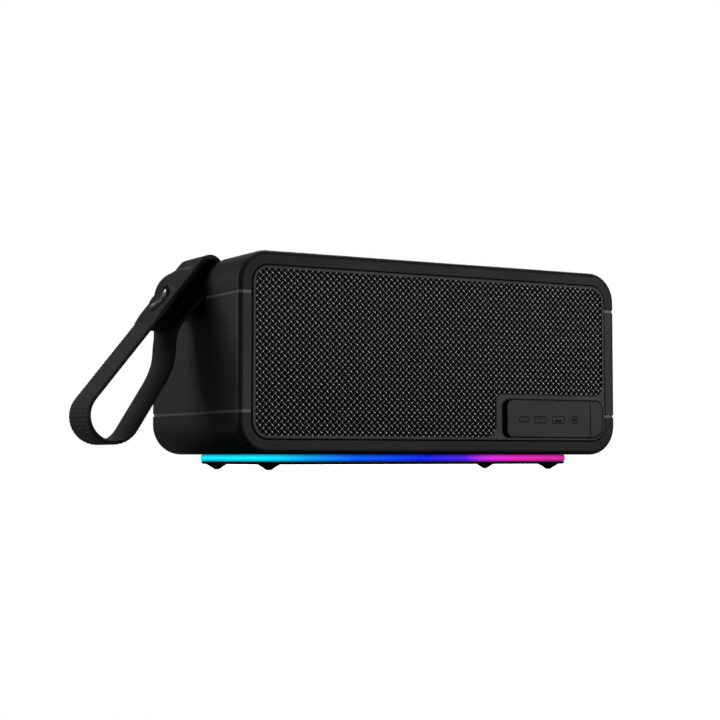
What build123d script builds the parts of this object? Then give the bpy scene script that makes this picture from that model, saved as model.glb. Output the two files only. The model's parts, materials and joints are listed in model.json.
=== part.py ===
"""Portable speaker with a woven grille, a port flap, a light ring in its base and a carry strap.

Millimetres. +X is the speaker's right as seen from the front, +Y its back, +Z up.
The origin is the centre of the footprint, on the plane that the feet stand on.
"""

import math
import os

from build123d import *

# ---- Body ---------------------------------------------------------------------------------------
BODY_W, BODY_H, BODY_D = 230.0, 100.0, 110.0
CORNER_R = 16.0
FRONT_EDGE_R, REAR_EDGE_R = 2.6, 4.0
WALL = 3.0
BEZEL = 7.0
GAP = 0.4
GROOVE_INSET = 21.0
GROOVE_W = 1.6
TRIM_DEPTH = 0.5

# ---- Base and feet ------------------------------------------------------------------------------
FOOT_H, FOOT_R, FOOT_TIP_R = 2.8, 5.4, 1.3
FOOT_X, FOOT_Y = 86.6, 31.2
PLATE_T, GUIDE_H = 1.5, 3.6
BASE_W, BASE_D, BASE_R = 188.0, 84.0, 8.0
GUIDE_WALL = 2.0
CABLE_HOLE_R, CABLE_HOLE_Y = 2.0, 20.0

BODY_Z = FOOT_H + PLATE_T + GUIDE_H
TOP_Z = BODY_Z + BODY_H
MID_Z = BODY_Z + BODY_H / 2
FRONT, BACK = -BODY_D / 2, BODY_D / 2

# ---- Front frame, grille and port bay -----------------------------------------------------------
FRAME_PROUD = 0.4
FRAME_FACE = FRONT - FRAME_PROUD
FRAME_T = 2.8
FRAME_BACK = FRAME_FACE + FRAME_T
FRAME_BORDER = 1.8
MESH_LIP, MESH_T = 0.75, 0.6
NOTCH_X, NOTCH_Z = 37.0, BODY_Z + 30.0
POCKET_X0, POCKET_X1 = 38.6, 106.2
POCKET_Z0, POCKET_Z1 = BODY_Z + 8.8, BODY_Z + 29.6
FLAP_X0, FLAP_HINGE_X = 42.0, 97.3
FLAP_FACE, FLAP_T = FRAME_FACE - 0.2, 2.6
FLAP_SLIT, FLAP_SEAM, SLIT_SHORT = 0.4, 0.12, 2.0
PLUG_DEPTH, PLUG_CLEAR = 1.4, 0.8
SOCKET_FACE = FRAME_BACK + 1.2

# ---- Cabinet and woofers ------------------------------------------------------------------------
CABINET_GAP, CABINET_WALL = 0.3, 2.4
BAFFLE_FACE, BAFFLE_T = -47.0, 3.0
CABINET_BACK = 48.5
WOOFER_X, WOOFER_Z = 58.0, BODY_Z + 61.0
WOOFER_R, CONE_R, ROLL_R = 29.0, 20.0, 25.4
COIL_R = 6.9
WOOFER_TRAVEL = 2.0

# ---- Passive radiator in the back ---------------------------------------------------------------
PASSIVE_W, PASSIVE_H = 122.0, 60.0
PASSIVE_ROLL = 9.0

# ---- Top keys -----------------------------------------------------------------------------------
KEY_PITCH, KEY_R, KEY_TRAVEL = 17.0, 6.0, 0.6
KEY_NAMES = ["power", "mode", "volume_down", "play", "volume_up", "light"]
KEY_SINK = 0.6

# ---- Strap --------------------------------------------------------------------------------------
PIVOT_X, PIVOT_Z = -111.4, BODY_Z + 89.3
FOLD_X, FOLD_Z, FOLD_BEND = -111.0, BODY_Z + 94.9, 4.6
PIN_R, PIN_PASS = 1.5, 3.9
HUB_HALF_W, HUB_GAP, HUB_FOOT_Z = 13.4, 0.1, BODY_Z + 63.4
STRAP_W, STRAP_T = 28.0, 2.0
HEAD_W, HEAD_T, HEAD_LENGTH = 28.8, 0.9, 41.0
BOSS_START, BOSS_END, BOSS_RISE, BOSS_W = 3.7, 22.7, 2.8, 24.0
LOOP_X, LOOP_Z, LOOP_R = -161.8, BODY_Z + 19.0, 13.1
STUD_ALONG, STUD_R, STUD_HOLE_R, STUD_RISE = 26.7, 6.3, 7.5, 3.6
SHANK_R, STUD_PLATE_R, STUD_PLATE_T = 2.0, 6.0, 1.2
RECESS_R, RECESS_HALF_W, RECESS_WALL = 13.1, 15.3, 2.0
RECESS_ANGLE, RECESS_OFFSET = 26.0, 6.0


# ---- Helpers ------------------------------------------------------------------------------------
def prism_y(sketch, y_front, y_back):
    """Extrudes a sketch drawn in X and Z from y_front to y_back."""
    plane = Plane(origin=(0, y_back, 0), x_dir=(1, 0, 0), z_dir=(0, -1, 0))
    return extrude(plane * sketch, y_back - y_front)


def rod_y(radius, x, z, y_front, y_back):
    return prism_y(Pos(x, z) * Circle(radius), y_front, y_back)


def rod_z(radius, x, y, z_low, z_high):
    return Pos(x, y, (z_low + z_high) / 2) * Cylinder(radius, z_high - z_low)


def block(x0, x1, y0, y1, z0, z1):
    return Pos((x0 + x1) / 2, (y0 + y1) / 2, (z0 + z1) / 2) * Box(x1 - x0, y1 - y0, z1 - z0)


def rounded_block(width, depth, radius, z_low, z_high):
    return extrude(Pos(0, 0, z_low) * RectangleRounded(width, depth, radius), z_high - z_low)


def outline(inset):
    """The body's front outline, moved in by inset."""
    return Pos(0, MID_Z) * RectangleRounded(BODY_W - 2 * inset, BODY_H - 2 * inset, CORNER_R - inset)


def box_sketch(x0, x1, z0, z1, radius=0.0):
    place = Pos((x0 + x1) / 2, (z0 + z1) / 2)
    if radius:
        return place * RectangleRounded(x1 - x0, z1 - z0, radius)
    return place * Rectangle(x1 - x0, z1 - z0)


def racetrack(width, height):
    return Pos(0, MID_Z) * SlotOverall(width, height)


def revolve_y(points, x, z):
    """Revolves a profile of (radius, y) points about the line along Y through x and z."""
    profile = Plane.XY * make_face(Polyline(*points, close=True))
    return Pos(x, 0, z) * revolve(profile, Axis.Y)


def group(shapes):
    return Compound(children=[s.solid() for s in shapes])


# ---- Enclosure ----------------------------------------------------------------------------------
def sleeve(skin_inset=0.0):
    """The wrap-around body: a rounded box with a wide opening front and back."""
    body = prism_y(outline(skin_inset), FRONT + skin_inset, BACK - skin_inset)
    body = fillet(body.faces().sort_by(Axis.Y)[0].edges(), FRONT_EDGE_R - skin_inset)
    body = fillet(body.faces().sort_by(Axis.Y)[-1].edges(), REAR_EDGE_R - skin_inset)
    body -= prism_y(outline(WALL), FRONT + WALL, BACK - WALL)
    body -= prism_y(outline(BEZEL), FRONT - 1, BACK + 1)
    return body


LOWER_GROOVE = BODY_Z + GROOVE_INSET
UPPER_GROOVE = TOP_Z - GROOVE_INSET


def band(z_low, z_high, x_low=-BODY_W, x_high=BODY_W):
    return block(x_low, x_high, -BODY_D, BODY_D, z_low, z_high)


def recess_sketch(grow=0.0):
    """The strap recess in the top left corner, seen from the front, moved out by grow."""
    reach, run = 40.0, 30.0
    radius, offset = RECESS_R + grow, RECESS_OFFSET + grow
    slope = math.radians(RECESS_ANGLE)
    start = (PIVOT_X + offset * math.cos(slope), PIVOT_Z - offset * math.sin(slope))
    low = (start[0] - run * math.sin(slope), start[1] - run * math.cos(slope))
    far = PIVOT_X - reach
    wedge = make_face(Polyline((PIVOT_X, PIVOT_Z), start, low, (far, low[1]), (far, PIVOT_Z), close=True))
    above = box_sketch(far, PIVOT_X + radius, PIVOT_Z, PIVOT_Z + reach)
    return Pos(PIVOT_X, PIVOT_Z) * Circle(radius) + wedge + above


def strap_recess():
    return prism_y(recess_sketch(), -RECESS_HALF_W, RECESS_HALF_W)


def key_x(index):
    return (index - (len(KEY_NAMES) - 1) / 2) * KEY_PITCH


def top_shell():
    shell = sleeve() & band(UPPER_GROOVE + GROOVE_W / 2, TOP_Z + 1)
    shell -= strap_recess() + strap_pin()
    pad_w = KEY_PITCH * len(KEY_NAMES) + 2
    shell -= rounded_block(pad_w, KEY_PITCH + 1, 8.0, TOP_Z - KEY_SINK, TOP_Z + 1)
    for i in range(len(KEY_NAMES)):
        shell -= rod_z(KEY_R + 0.2, key_x(i), 0, TOP_Z - WALL - 1, TOP_Z + 1)
    return shell


def bottom_shell():
    shell = sleeve() & band(BODY_Z - 1, LOWER_GROOVE - GROOVE_W / 2)
    for x, y in foot_places():
        shell -= rod_z(SCREW_R, x, y, BODY_Z - 1, BODY_Z + WALL + 1)
    return shell - rod_z(CABLE_HOLE_R, 0, CABLE_HOLE_Y, BODY_Z - 1, BODY_Z + WALL + 1)


def side_panel(side):
    x_low, x_high = (-BODY_W, 0) if side < 0 else (0, BODY_W)
    zone = band(LOWER_GROOVE + GROOVE_W / 2, UPPER_GROOVE - GROOVE_W / 2, x_low, x_high)
    panel = sleeve() & zone
    return panel - strap_recess() if side < 0 else panel


def side_trim_strips():
    """Pale strips in the bottoms of the four side grooves."""
    ring = sleeve(TRIM_DEPTH)
    strips = []
    for z in (LOWER_GROOVE, UPPER_GROOVE):
        for x_low, x_high in ((-BODY_W, 0), (0, BODY_W)):
            strip = ring & band(z - GROOVE_W / 2, z + GROOVE_W / 2, x_low, x_high)
            if z == UPPER_GROOVE and x_low < 0:
                strip -= strap_recess()
            strips += list(strip.solids())
    return group(strips)


def strap_housing():
    """The moulded pocket behind the strap recess, which holds both ends of the strap pin."""
    half = RECESS_HALF_W + RECESS_WALL
    housing = prism_y(recess_sketch(RECESS_WALL), -half, half)
    housing &= prism_y(outline(WALL + 0.05), FRONT, BACK)
    housing -= strap_recess()
    return housing - rod_y(PIN_R, PIVOT_X, PIVOT_Z, -half - 1, half + 1)


# ---- Cabinet ------------------------------------------------------------------------------------
HOUSING_BAY = (-BODY_W / 2, -95.6, -20.0, 20.0, 75.5, TOP_Z)
PORT_BAY = (36.0, 107.0, BAFFLE_FACE - 1, -27.0, 16.0, 39.4)
KEY_BAY = (-57.0, 57.0, -12.0, 12.0, 94.5, TOP_Z)


def cabinet():
    """The sealed acoustic box: a baffle in front, open at the back, with three bays let into its walls."""
    inset = WALL + CABINET_GAP
    outer = prism_y(outline(inset), BAFFLE_FACE, CABINET_BACK)
    inner = prism_y(outline(inset + CABINET_WALL), BAFFLE_FACE + BAFFLE_T, CABINET_BACK + 1)
    box = outer - inner
    wall = 2.0
    for x0, x1, y0, y1, z0, z1 in (HOUSING_BAY, PORT_BAY, KEY_BAY):
        box += block(x0 - wall, x1 + wall, y0 - wall, y1 + wall, z0 - wall, z1 + wall) & outer
    for bay in (HOUSING_BAY, PORT_BAY, KEY_BAY):
        box -= block(*bay)
    for x in (-WOOFER_X, WOOFER_X):
        box -= rod_y(ROLL_R + 0.2, x, WOOFER_Z, BAFFLE_FACE - 1, BAFFLE_FACE + BAFFLE_T + 1)
        for sx, sz in screw_circle(x):
            box -= rod_y(0.9, sx, sz, BAFFLE_FACE - 1, BAFFLE_FACE + BAFFLE_T - 0.4)
    floor = BODY_Z + inset + CABINET_WALL
    for x, y in board_corners():
        box += rod_z(2.5, x, y, floor - 0.5, BOARD_Z)
    return box


def rear_screw_places():
    edge_x, edge_z = BODY_W / 2 - 19.0, BODY_H / 2 - 14.0
    corners = [(sx * edge_x, MID_Z + sz * edge_z) for sx in (-1, 1) for sz in (-1, 1)]
    return corners + [(sx * edge_x, MID_Z) for sx in (-1, 1)] + [(0, MID_Z + sz * edge_z) for sz in (-1, 1)]


def rear_panel():
    """Back cover with a raised ring round the passive radiator and a flange behind the sleeve's lip."""
    panel = prism_y(outline(BEZEL + GAP), BACK - WALL, BACK - 0.4)
    panel += prism_y(outline(WALL + CABINET_GAP), CABINET_BACK + 0.6, BACK - WALL)
    panel += prism_y(racetrack(PASSIVE_W + 10, PASSIVE_H + 10), BACK - WALL, BACK + 0.6)
    panel -= prism_y(racetrack(PASSIVE_W - 2, PASSIVE_H - 2), CABINET_BACK, BACK + 2)
    panel -= prism_y(racetrack(PASSIVE_W, PASSIVE_H), BACK - 2.6, BACK + 2)
    for x, z in rear_screw_places():
        panel -= rod_y(1.7, x, z, CABINET_BACK, BACK + 2)
        panel -= rod_y(3.2, x, z, BACK - 2.4, BACK + 2)
    return panel


def rear_gasket():
    ring = prism_y(outline(WALL + CABINET_GAP), CABINET_BACK, CABINET_BACK + 0.6)
    return ring - prism_y(outline(WALL + CABINET_GAP + CABINET_WALL), CABINET_BACK - 1, BACK)


def rear_panel_screws():
    screws = []
    for x, z in rear_screw_places():
        head = rod_y(2.9, x, z, BACK - 2.4, BACK - 0.7)
        shank = rod_y(1.5, x, z, BACK - 7.5, BACK - 2.4)
        slot = prism_y(Pos(x, z) * (Rectangle(3.2, 0.7) + Rectangle(0.7, 3.2)), BACK - 1.6, BACK)
        screws.append(head + shank - slot)
    return group(screws)


# ---- Front --------------------------------------------------------------------------------------
def window(border):
    """The grille opening: the frame outline less border, with the port bay's corner left out."""
    face = outline(BEZEL + GAP + border)
    face -= box_sketch(NOTCH_X - border, BODY_W, 0, NOTCH_Z + border)
    corners = face.vertices()
    low = corners.sort_by_distance((NOTCH_X - border, BODY_Z + BEZEL + GAP + border))[0]
    right = corners.sort_by_distance((BODY_W / 2 - BEZEL - GAP - border, NOTCH_Z + border))[0]
    face = fillet([low, right], 7.0 - border / 2)
    inside = face.vertices().sort_by_distance((NOTCH_X - border, NOTCH_Z + border))[0]
    return fillet([inside], 2.0 + border / 2)


def pocket_sketch(shrink=0.0, x_left=None):
    """The port pocket, with its lower right corner following the frame's own corner."""
    x0 = POCKET_X0 + shrink if x_left is None else x_left
    face = box_sketch(x0, POCKET_X1 - shrink, POCKET_Z0 + shrink, POCKET_Z1 - shrink)
    for x, z, radius in (
        (x0, POCKET_Z0, 4.0),
        (x0, POCKET_Z1, 4.0),
        (POCKET_X1, POCKET_Z1, 5.5),
        (POCKET_X1, POCKET_Z0, 7.2),
    ):
        corner = face.vertices().sort_by_distance((x, z))[0]
        face = fillet([corner], radius - shrink)
    return face


# Each port: name, centre x, centre z, width and height of its mouth.
PORT_Z = 21.6
PORTS = {
    "usb_c": (51.0, PORT_Z + 1.7, 8.94, 3.26),
    "card": (64.5, PORT_Z + 1.0, 14.0, 1.9),
    "usb_a": (80.5, PORT_Z + 2.9, 13.2, 5.8),
    "aux": (93.2, PORT_Z + 3.2, 5.6, 5.6),
}


def port_outline(name, grow):
    x, z, width, height = PORTS[name]
    radius = min(width, height) / 2 - 0.05 if name in ("usb_c", "aux") else 0.6
    return Pos(x, z) * RectangleRounded(width + 2 * grow, height + 2 * grow, radius + grow)


def grille_frame():
    rim = BEZEL + GAP
    frame = prism_y(outline(rim), FRAME_FACE, FRAME_BACK)
    frame = fillet(frame.faces().sort_by(Axis.Y)[0].edges(), 0.5)
    frame -= prism_y(window(FRAME_BORDER), FRAME_FACE - 1, FRAME_BACK + 1)
    frame -= prism_y(window(0.9), FRAME_FACE + MESH_LIP, FRAME_BACK + 1)
    skirt = prism_y(outline(rim), FRAME_BACK, BAFFLE_FACE - 0.1)
    frame += skirt - prism_y(outline(rim + 1.4), FRAME_BACK - 1, BAFFLE_FACE + 1)
    tray = box_sketch(NOTCH_X, POCKET_X1 + 0.4, POCKET_Z0 - 0.4, NOTCH_Z) & outline(rim)
    frame += prism_y(tray, FRAME_BACK - 0.5, FRAME_BACK + 1.0)
    frame -= prism_y(pocket_sketch(), FRAME_FACE - 1, FRAME_BACK - 0.1)
    for name in PORTS:
        frame -= prism_y(port_outline(name, PLUG_CLEAR), FRAME_FACE, FRAME_BACK + 2)
    return frame


def grille_mesh():
    return prism_y(window(0.95), FRAME_FACE + MESH_LIP + 0.05, FRAME_FACE + MESH_LIP + MESH_T)


def acoustic_cloth():
    back = FRAME_FACE + MESH_LIP + MESH_T
    return prism_y(window(0.95), back + 0.1, back + 0.4)


def hinge_slit():
    """The slot that thins the port cover along its hinge line, short of the cover's two edges."""
    half = FLAP_SLIT / 2
    z_low, z_high = POCKET_Z0 + SLIT_SHORT, POCKET_Z1 - SLIT_SHORT
    return box_sketch(FLAP_HINGE_X - half, FLAP_HINGE_X + half, z_low, z_high)


def port_flap():
    """The door of the port cover: a soft panel with one plug behind it for each port."""
    face = pocket_sketch(0.35, FLAP_X0) & box_sketch(0, FLAP_HINGE_X - FLAP_SEAM / 2, 0, TOP_Z)
    face -= hinge_slit()
    door = prism_y(face, FLAP_FACE, FLAP_FACE + FLAP_T)
    edges = door.faces().sort_by(Axis.Y)[0].edges()
    door = fillet(edges.filter_by(lambda e: e.center().X < FLAP_HINGE_X - 1), 0.5)
    for name in PORTS:
        plug = port_outline(name, -0.35 if name != "card" else -0.1)
        door += prism_y(plug, FLAP_FACE + FLAP_T - 0.1, FLAP_FACE + FLAP_T + PLUG_DEPTH)
    return door


def port_flap_anchor():
    """The fixed end of the port cover, glued into the pocket beside its hinge line."""
    face = pocket_sketch(0.25) & box_sketch(FLAP_HINGE_X + FLAP_SEAM / 2, BODY_W, 0, TOP_Z)
    face -= hinge_slit()
    anchor = prism_y(face, FLAP_FACE, FRAME_BACK - 0.15)
    edges = anchor.faces().sort_by(Axis.Y)[0].edges()
    return fillet(edges.filter_by(lambda e: e.center().X > FLAP_HINGE_X + 1), 0.5)


# ---- Port board ---------------------------------------------------------------------------------
PORT_BOARD_T = 1.6


def io_board():
    return block(39.0, 104.0, SOCKET_FACE + 1.0, -30.0, PORT_Z - PORT_BOARD_T, PORT_Z)


def socket_shell(name, depth, wall):
    """A connector: a rounded shell that is open in front, with a contact tongue inside."""
    x, z, width, height = PORTS[name]
    back = SOCKET_FACE + depth
    shell = prism_y(port_outline(name, 0), SOCKET_FACE, back)
    shell -= prism_y(port_outline(name, -wall), SOCKET_FACE - 1, back - 1.5)
    tongue_w, tongue_h = width * 0.68, min(1.6, height * 0.22)
    tongue = box_sketch(x - tongue_w / 2, x + tongue_w / 2, z - tongue_h / 2, z + tongue_h / 2)
    return shell + prism_y(tongue, SOCKET_FACE + 1.2, back - 1.0)


def usb_c_socket():
    return socket_shell("usb_c", 7.3, 0.3)


def usb_a_socket():
    return socket_shell("usb_a", 14.0, 0.35)


def card_slot():
    x, z, width, height = PORTS["card"]
    shell = prism_y(port_outline("card", 0), SOCKET_FACE, SOCKET_FACE + 14.5)
    return shell - block(x - 5.6, x + 5.6, SOCKET_FACE - 1, SOCKET_FACE + 13, z - 0.5, z + 0.5)


def aux_jack():
    x, z, width, height = PORTS["aux"]
    barrel = rod_y(width / 2, x, z, SOCKET_FACE, SOCKET_FACE + 3)
    housing = block(x - 3.1, x + 3.1, SOCKET_FACE + 2, SOCKET_FACE + 14, PORT_Z, z + 2.9)
    return barrel + housing - rod_y(1.8, x, z, SOCKET_FACE - 1, SOCKET_FACE + 12)


# ---- Woofers ------------------------------------------------------------------------------------
GASKET_T, FLANGE_T = 0.6, 1.4
FLANGE_BACK = BAFFLE_FACE - GASKET_T
FLANGE_FACE = FLANGE_BACK - FLANGE_T
BASKET_DEPTH = 16.0
TOP_PLATE_T, MAGNET_T, YOKE_T = 3.0, 8.0, 3.0
PLATE_Y = FLANGE_BACK + BASKET_DEPTH + 1.0
SCREW_COUNT = 4
RIM_Y, NECK_Y = FLANGE_FACE + 0.3, FLANGE_BACK + 9.0
CONE_SLOPE = (NECK_Y - RIM_Y) / (CONE_R - COIL_R)


def screw_circle(x):
    radius = WOOFER_R - 1.8
    for i in range(SCREW_COUNT):
        angle = math.radians(45 + i * 360 / SCREW_COUNT)
        yield x + radius * math.cos(angle), WOOFER_Z + radius * math.sin(angle)


def both(make):
    return group([make(-WOOFER_X), make(WOOFER_X)])


def woofer_basket(x):
    rear_r, rear_y = 17.5, FLANGE_BACK + BASKET_DEPTH
    profile = [
        (ROLL_R - 1.4, FLANGE_FACE + 0.5),
        (WOOFER_R, FLANGE_FACE + 0.5),
        (WOOFER_R, FLANGE_BACK),
        (ROLL_R - 0.2, FLANGE_BACK),
        (rear_r + 1, rear_y + 1),
        (COIL_R + 1.5, rear_y + 1),
        (COIL_R + 1.5, rear_y),
        (rear_r, rear_y),
        (ROLL_R - 1.4, FLANGE_BACK),
    ]
    basket = revolve_y(profile, x, WOOFER_Z)
    window_y0, window_y1 = FLANGE_BACK + 2.5, rear_y - 2.5
    for i in range(3):
        slot = Pos(x, (window_y0 + window_y1) / 2, WOOFER_Z) * Rot(0, 60 * i, 0)
        basket -= slot * Box(2 * WOOFER_R, window_y1 - window_y0, 11)
    for sx, sz in screw_circle(x):
        basket -= rod_y(1.1, sx, sz, FLANGE_FACE - 1, FLANGE_BACK + 0.05)
    return basket


def woofer_gasket(x):
    ring = rod_y(WOOFER_R, x, WOOFER_Z, FLANGE_BACK, BAFFLE_FACE)
    ring -= rod_y(ROLL_R + 0.2, x, WOOFER_Z, FLANGE_BACK - 1, BAFFLE_FACE + 1)
    for sx, sz in screw_circle(x):
        ring -= rod_y(1.1, sx, sz, FLANGE_BACK - 1, BAFFLE_FACE + 1)
    return ring


def woofer_screws():
    screws = []
    for x in (-WOOFER_X, WOOFER_X):
        for sx, sz in screw_circle(x):
            head = rod_y(1.7, sx, sz, FLANGE_FACE - 0.6, FLANGE_FACE + 0.5)
            screws.append(head + rod_y(0.9, sx, sz, FLANGE_FACE + 0.5, BAFFLE_FACE + 2.4))
    return group(screws)


def woofer_surround(x):
    """Half-roll rubber ring from the basket's flange to the edge of the cone."""
    mid_r, roll = (ROLL_R + CONE_R) / 2, (ROLL_R - 1.2 - CONE_R) / 2
    seat = FLANGE_FACE + 0.5
    thickness = 0.5
    outer = Pos(mid_r, seat) * Circle(roll)
    inner = Pos(mid_r, seat) * Circle(roll - thickness)
    arch = (outer - inner) & box_sketch(0, 2 * WOOFER_R, seat - 10, seat)
    lips = box_sketch(CONE_R + 0.05, mid_r - roll + 0.3, seat - thickness, seat)
    lips += box_sketch(mid_r + roll - 0.3, ROLL_R - 0.2, seat - thickness, seat)
    return Pos(x, 0, WOOFER_Z) * revolve(arch + lips, Axis.Y)


def woofer_spider(x):
    """Flat centring ring with four corrugations."""
    y, pitch, height = FLANGE_BACK + 12.0, 2.0, 0.6
    low = [(COIL_R + 0.55 + i * pitch / 2, y + (height if i % 2 else 0)) for i in range(10)]
    return revolve_y(low + [(r, v + 0.35) for r, v in reversed(low)], x, WOOFER_Z)


def woofer_cone(x):
    t = 0.5
    profile = [(CONE_R - t, RIM_Y), (CONE_R, RIM_Y), (CONE_R, RIM_Y + t), (COIL_R, NECK_Y + t), (COIL_R, NECK_Y)]
    return revolve_y(profile, x, WOOFER_Z)


def woofer_dust_cap(x):
    """Shallow dome glued over the cone's middle."""
    cap_r, rise, t = 9.2, 3.2, 0.4
    sphere_r = (cap_r**2 + rise**2) / (2 * rise)
    seat = NECK_Y - (cap_r - COIL_R) * CONE_SLOPE - 0.05
    centre = seat - rise + sphere_r
    ring = Pos(0, centre) * (Circle(sphere_r) - Circle(sphere_r - t))
    ring &= box_sketch(0, cap_r, centre - sphere_r - 1, seat)
    return Pos(x, 0, WOOFER_Z) * revolve(ring, Axis.Y)


def woofer_coil(x):
    """Voice coil: a thin former with its winding in the magnet gap."""
    former = rod_y(COIL_R - 0.05, x, WOOFER_Z, NECK_Y, PLATE_Y + 4.0)
    winding = rod_y(COIL_R + 0.25, x, WOOFER_Z, PLATE_Y - 1.0, PLATE_Y + 4.0)
    return former + winding - rod_y(COIL_R - 0.2, x, WOOFER_Z, FLANGE_BACK, PLATE_Y + 6)


def woofer_top_plate(x):
    plate = rod_y(16.0, x, WOOFER_Z, PLATE_Y, PLATE_Y + TOP_PLATE_T)
    return plate - rod_y(COIL_R + 0.5, x, WOOFER_Z, PLATE_Y - 1, PLATE_Y + TOP_PLATE_T + 1)


def woofer_magnet(x):
    y = PLATE_Y + TOP_PLATE_T
    return rod_y(18.0, x, WOOFER_Z, y, y + MAGNET_T) - rod_y(9.0, x, WOOFER_Z, y - 1, y + MAGNET_T + 1)


def woofer_yoke(x):
    y = PLATE_Y + TOP_PLATE_T + MAGNET_T
    plate = rod_y(17.0, x, WOOFER_Z, y, y + YOKE_T)
    return plate + rod_y(COIL_R - 0.5, x, WOOFER_Z, PLATE_Y, y + 0.5)


# ---- Passive radiator ---------------------------------------------------------------------------
def passive_surround():
    """Racetrack half-roll of rubber between the back cover and the passive diaphragm."""
    seat, thickness = BACK - 2.6, 0.7
    inner_w, inner_h = PASSIVE_W - 2 * PASSIVE_ROLL, PASSIVE_H - 2 * PASSIVE_ROLL
    flat = prism_y(racetrack(PASSIVE_W - 0.2, PASSIVE_H - 0.2), seat, seat + thickness)
    arch = prism_y(racetrack(PASSIVE_W - 4, PASSIVE_H - 4), seat, seat + 2.6)
    arch = fillet(arch.faces().sort_by(Axis.Y)[-1].edges(), 2.4)
    hollow = prism_y(racetrack(PASSIVE_W - 4 - 2 * thickness, PASSIVE_H - 4 - 2 * thickness), seat - 1, seat + 1.9)
    hollow = fillet(hollow.faces().sort_by(Axis.Y)[-1].edges(), 1.7)
    return flat + arch - hollow - prism_y(racetrack(inner_w + 0.2, inner_h + 0.2), seat - 3, seat + 5)


def passive_diaphragm():
    """Stiff plate in the middle of the passive radiator, with a raised rib round it."""
    inner_w, inner_h = PASSIVE_W - 2 * PASSIVE_ROLL, PASSIVE_H - 2 * PASSIVE_ROLL
    seat = BACK - 2.6
    plate = prism_y(racetrack(inner_w, inner_h), seat, seat + 1.6)
    plate += prism_y(racetrack(inner_w - 12, inner_h - 12), seat, seat + 2.2)
    return plate - prism_y(racetrack(inner_w - 16, inner_h - 16), seat + 1.6, seat + 5)


def passive_weight():
    return prism_y(Pos(0, MID_Z) * RectangleRounded(60, 22, 4), BACK - 2.6 - 3.0, BACK - 2.6)


# ---- Electronics --------------------------------------------------------------------------------
BOARD_Z, BOARD_T = 19.0, 1.6
BOARD_X0, BOARD_X1, BOARD_Y0, BOARD_Y1 = -22.0, 70.0, -4.0, 40.0
CELL_R, CELL_L = 9.2, 65.0
CELL_Z = 25.0
CELL_X = -63.5
CELL_YS = (11.0, 30.5)


def board_corners():
    inset = 4.0
    return [(x, y) for x in (BOARD_X0 + inset, BOARD_X1 - inset) for y in (BOARD_Y0 + inset, BOARD_Y1 - inset)]


def main_board():
    board = block(BOARD_X0, BOARD_X1, BOARD_Y0, BOARD_Y1, BOARD_Z, BOARD_Z + BOARD_T)
    for x, y in board_corners():
        board -= rod_z(1.2, x, y, BOARD_Z - 1, BOARD_Z + BOARD_T + 1)
    return board


def board_components():
    """Capacitors, coils, chips, lead sockets and the amplifier's finned heat sink."""
    top = BOARD_Z + BOARD_T
    parts = [rod_z(4.0, -10 + 11 * i, 32, top, top + 11) for i in range(3)]
    parts += [block(30 + 10 * i, 37 + 10 * i, 26, 33, top, top + 4.5) for i in range(2)]
    parts += [block(-12, 0, 2, 14, top, top + 1.4), block(44, 54, 2, 10, top, top + 1.2)]
    parts += [block(62, 68, 10 + 9 * i, 17 + 9 * i, top, top + 5) for i in range(2)]
    sink = block(12, 36, 2, 20, top, top + 3)
    for i in range(6):
        sink += block(12 + 4.4 * i, 14 + 4.4 * i, 2, 20, top + 2, top + 11)
    return group(parts + [sink])


def battery_cells():
    cells = []
    for y in CELL_YS:
        cell = Pos(CELL_X, y, CELL_Z) * Rot(0, 90, 0) * Cylinder(CELL_R, CELL_L)
        button = Pos(CELL_X + CELL_L / 2 + 0.6, y, CELL_Z) * Rot(0, 90, 0) * Cylinder(3.0, 1.2)
        cells.append(cell + button)
    return group(cells)


def battery_cradle():
    """Tray that the two cells lie in, fixed to the cabinet's floor."""
    half = CELL_L / 2 + 3.0
    floor = BODY_Z + WALL + CABINET_GAP + CABINET_WALL
    tray = block(CELL_X - half, CELL_X + half, CELL_YS[0] - 11, CELL_YS[1] + 11, floor, CELL_Z)
    for y in CELL_YS:
        tray -= Pos(CELL_X, y, CELL_Z) * Rot(0, 90, 0) * Cylinder(CELL_R + 0.2, CELL_L + 3.0)
    return tray


def wiring():
    """Leads from the board to each woofer, the battery, the ports and the light strip."""
    top = BOARD_Z + BOARD_T
    routes = [
        ((65, 24, top + 5.6), (66, 10, 52), (WOOFER_X + 22, -20, WOOFER_Z - 8), (WOOFER_X + 24, -34, WOOFER_Z)),
        ((65, 14, top + 5.6), (0, 0, 56), (-WOOFER_X + 23, -20, WOOFER_Z - 8), (-WOOFER_X + 24, -34, WOOFER_Z)),
        ((CELL_X + CELL_L / 2 + 2.6, 20, 31), (-26, 20, 32), (-21, 21, 27), (-18, 22, top + 0.9)),
    ]
    leads = []
    for route in routes:
        path = Spline(*route)
        leads.append(sweep(Plane(origin=path @ 0, z_dir=path % 0) * Circle(0.8), path))
    return group(leads)


# ---- Keys ---------------------------------------------------------------------------------------
KEY_BOARD_Z, KEY_BOARD_T = 96.0, 1.6
SWITCH_BODY_H, SWITCH_H = 2.9, 3.6


def button_board():
    half = KEY_PITCH * len(KEY_NAMES) / 2
    return block(-half, half, -9, 9, KEY_BOARD_Z, KEY_BOARD_Z + KEY_BOARD_T)


def tact_switches():
    base = KEY_BOARD_Z + KEY_BOARD_T
    switches = []
    for i in range(len(KEY_NAMES)):
        body = block(key_x(i) - 3, key_x(i) + 3, -3, 3, base, base + SWITCH_BODY_H)
        switches.append(body + rod_z(1.7, key_x(i), 0, base + SWITCH_BODY_H - 0.1, base + SWITCH_H))
    return group(switches)


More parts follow.
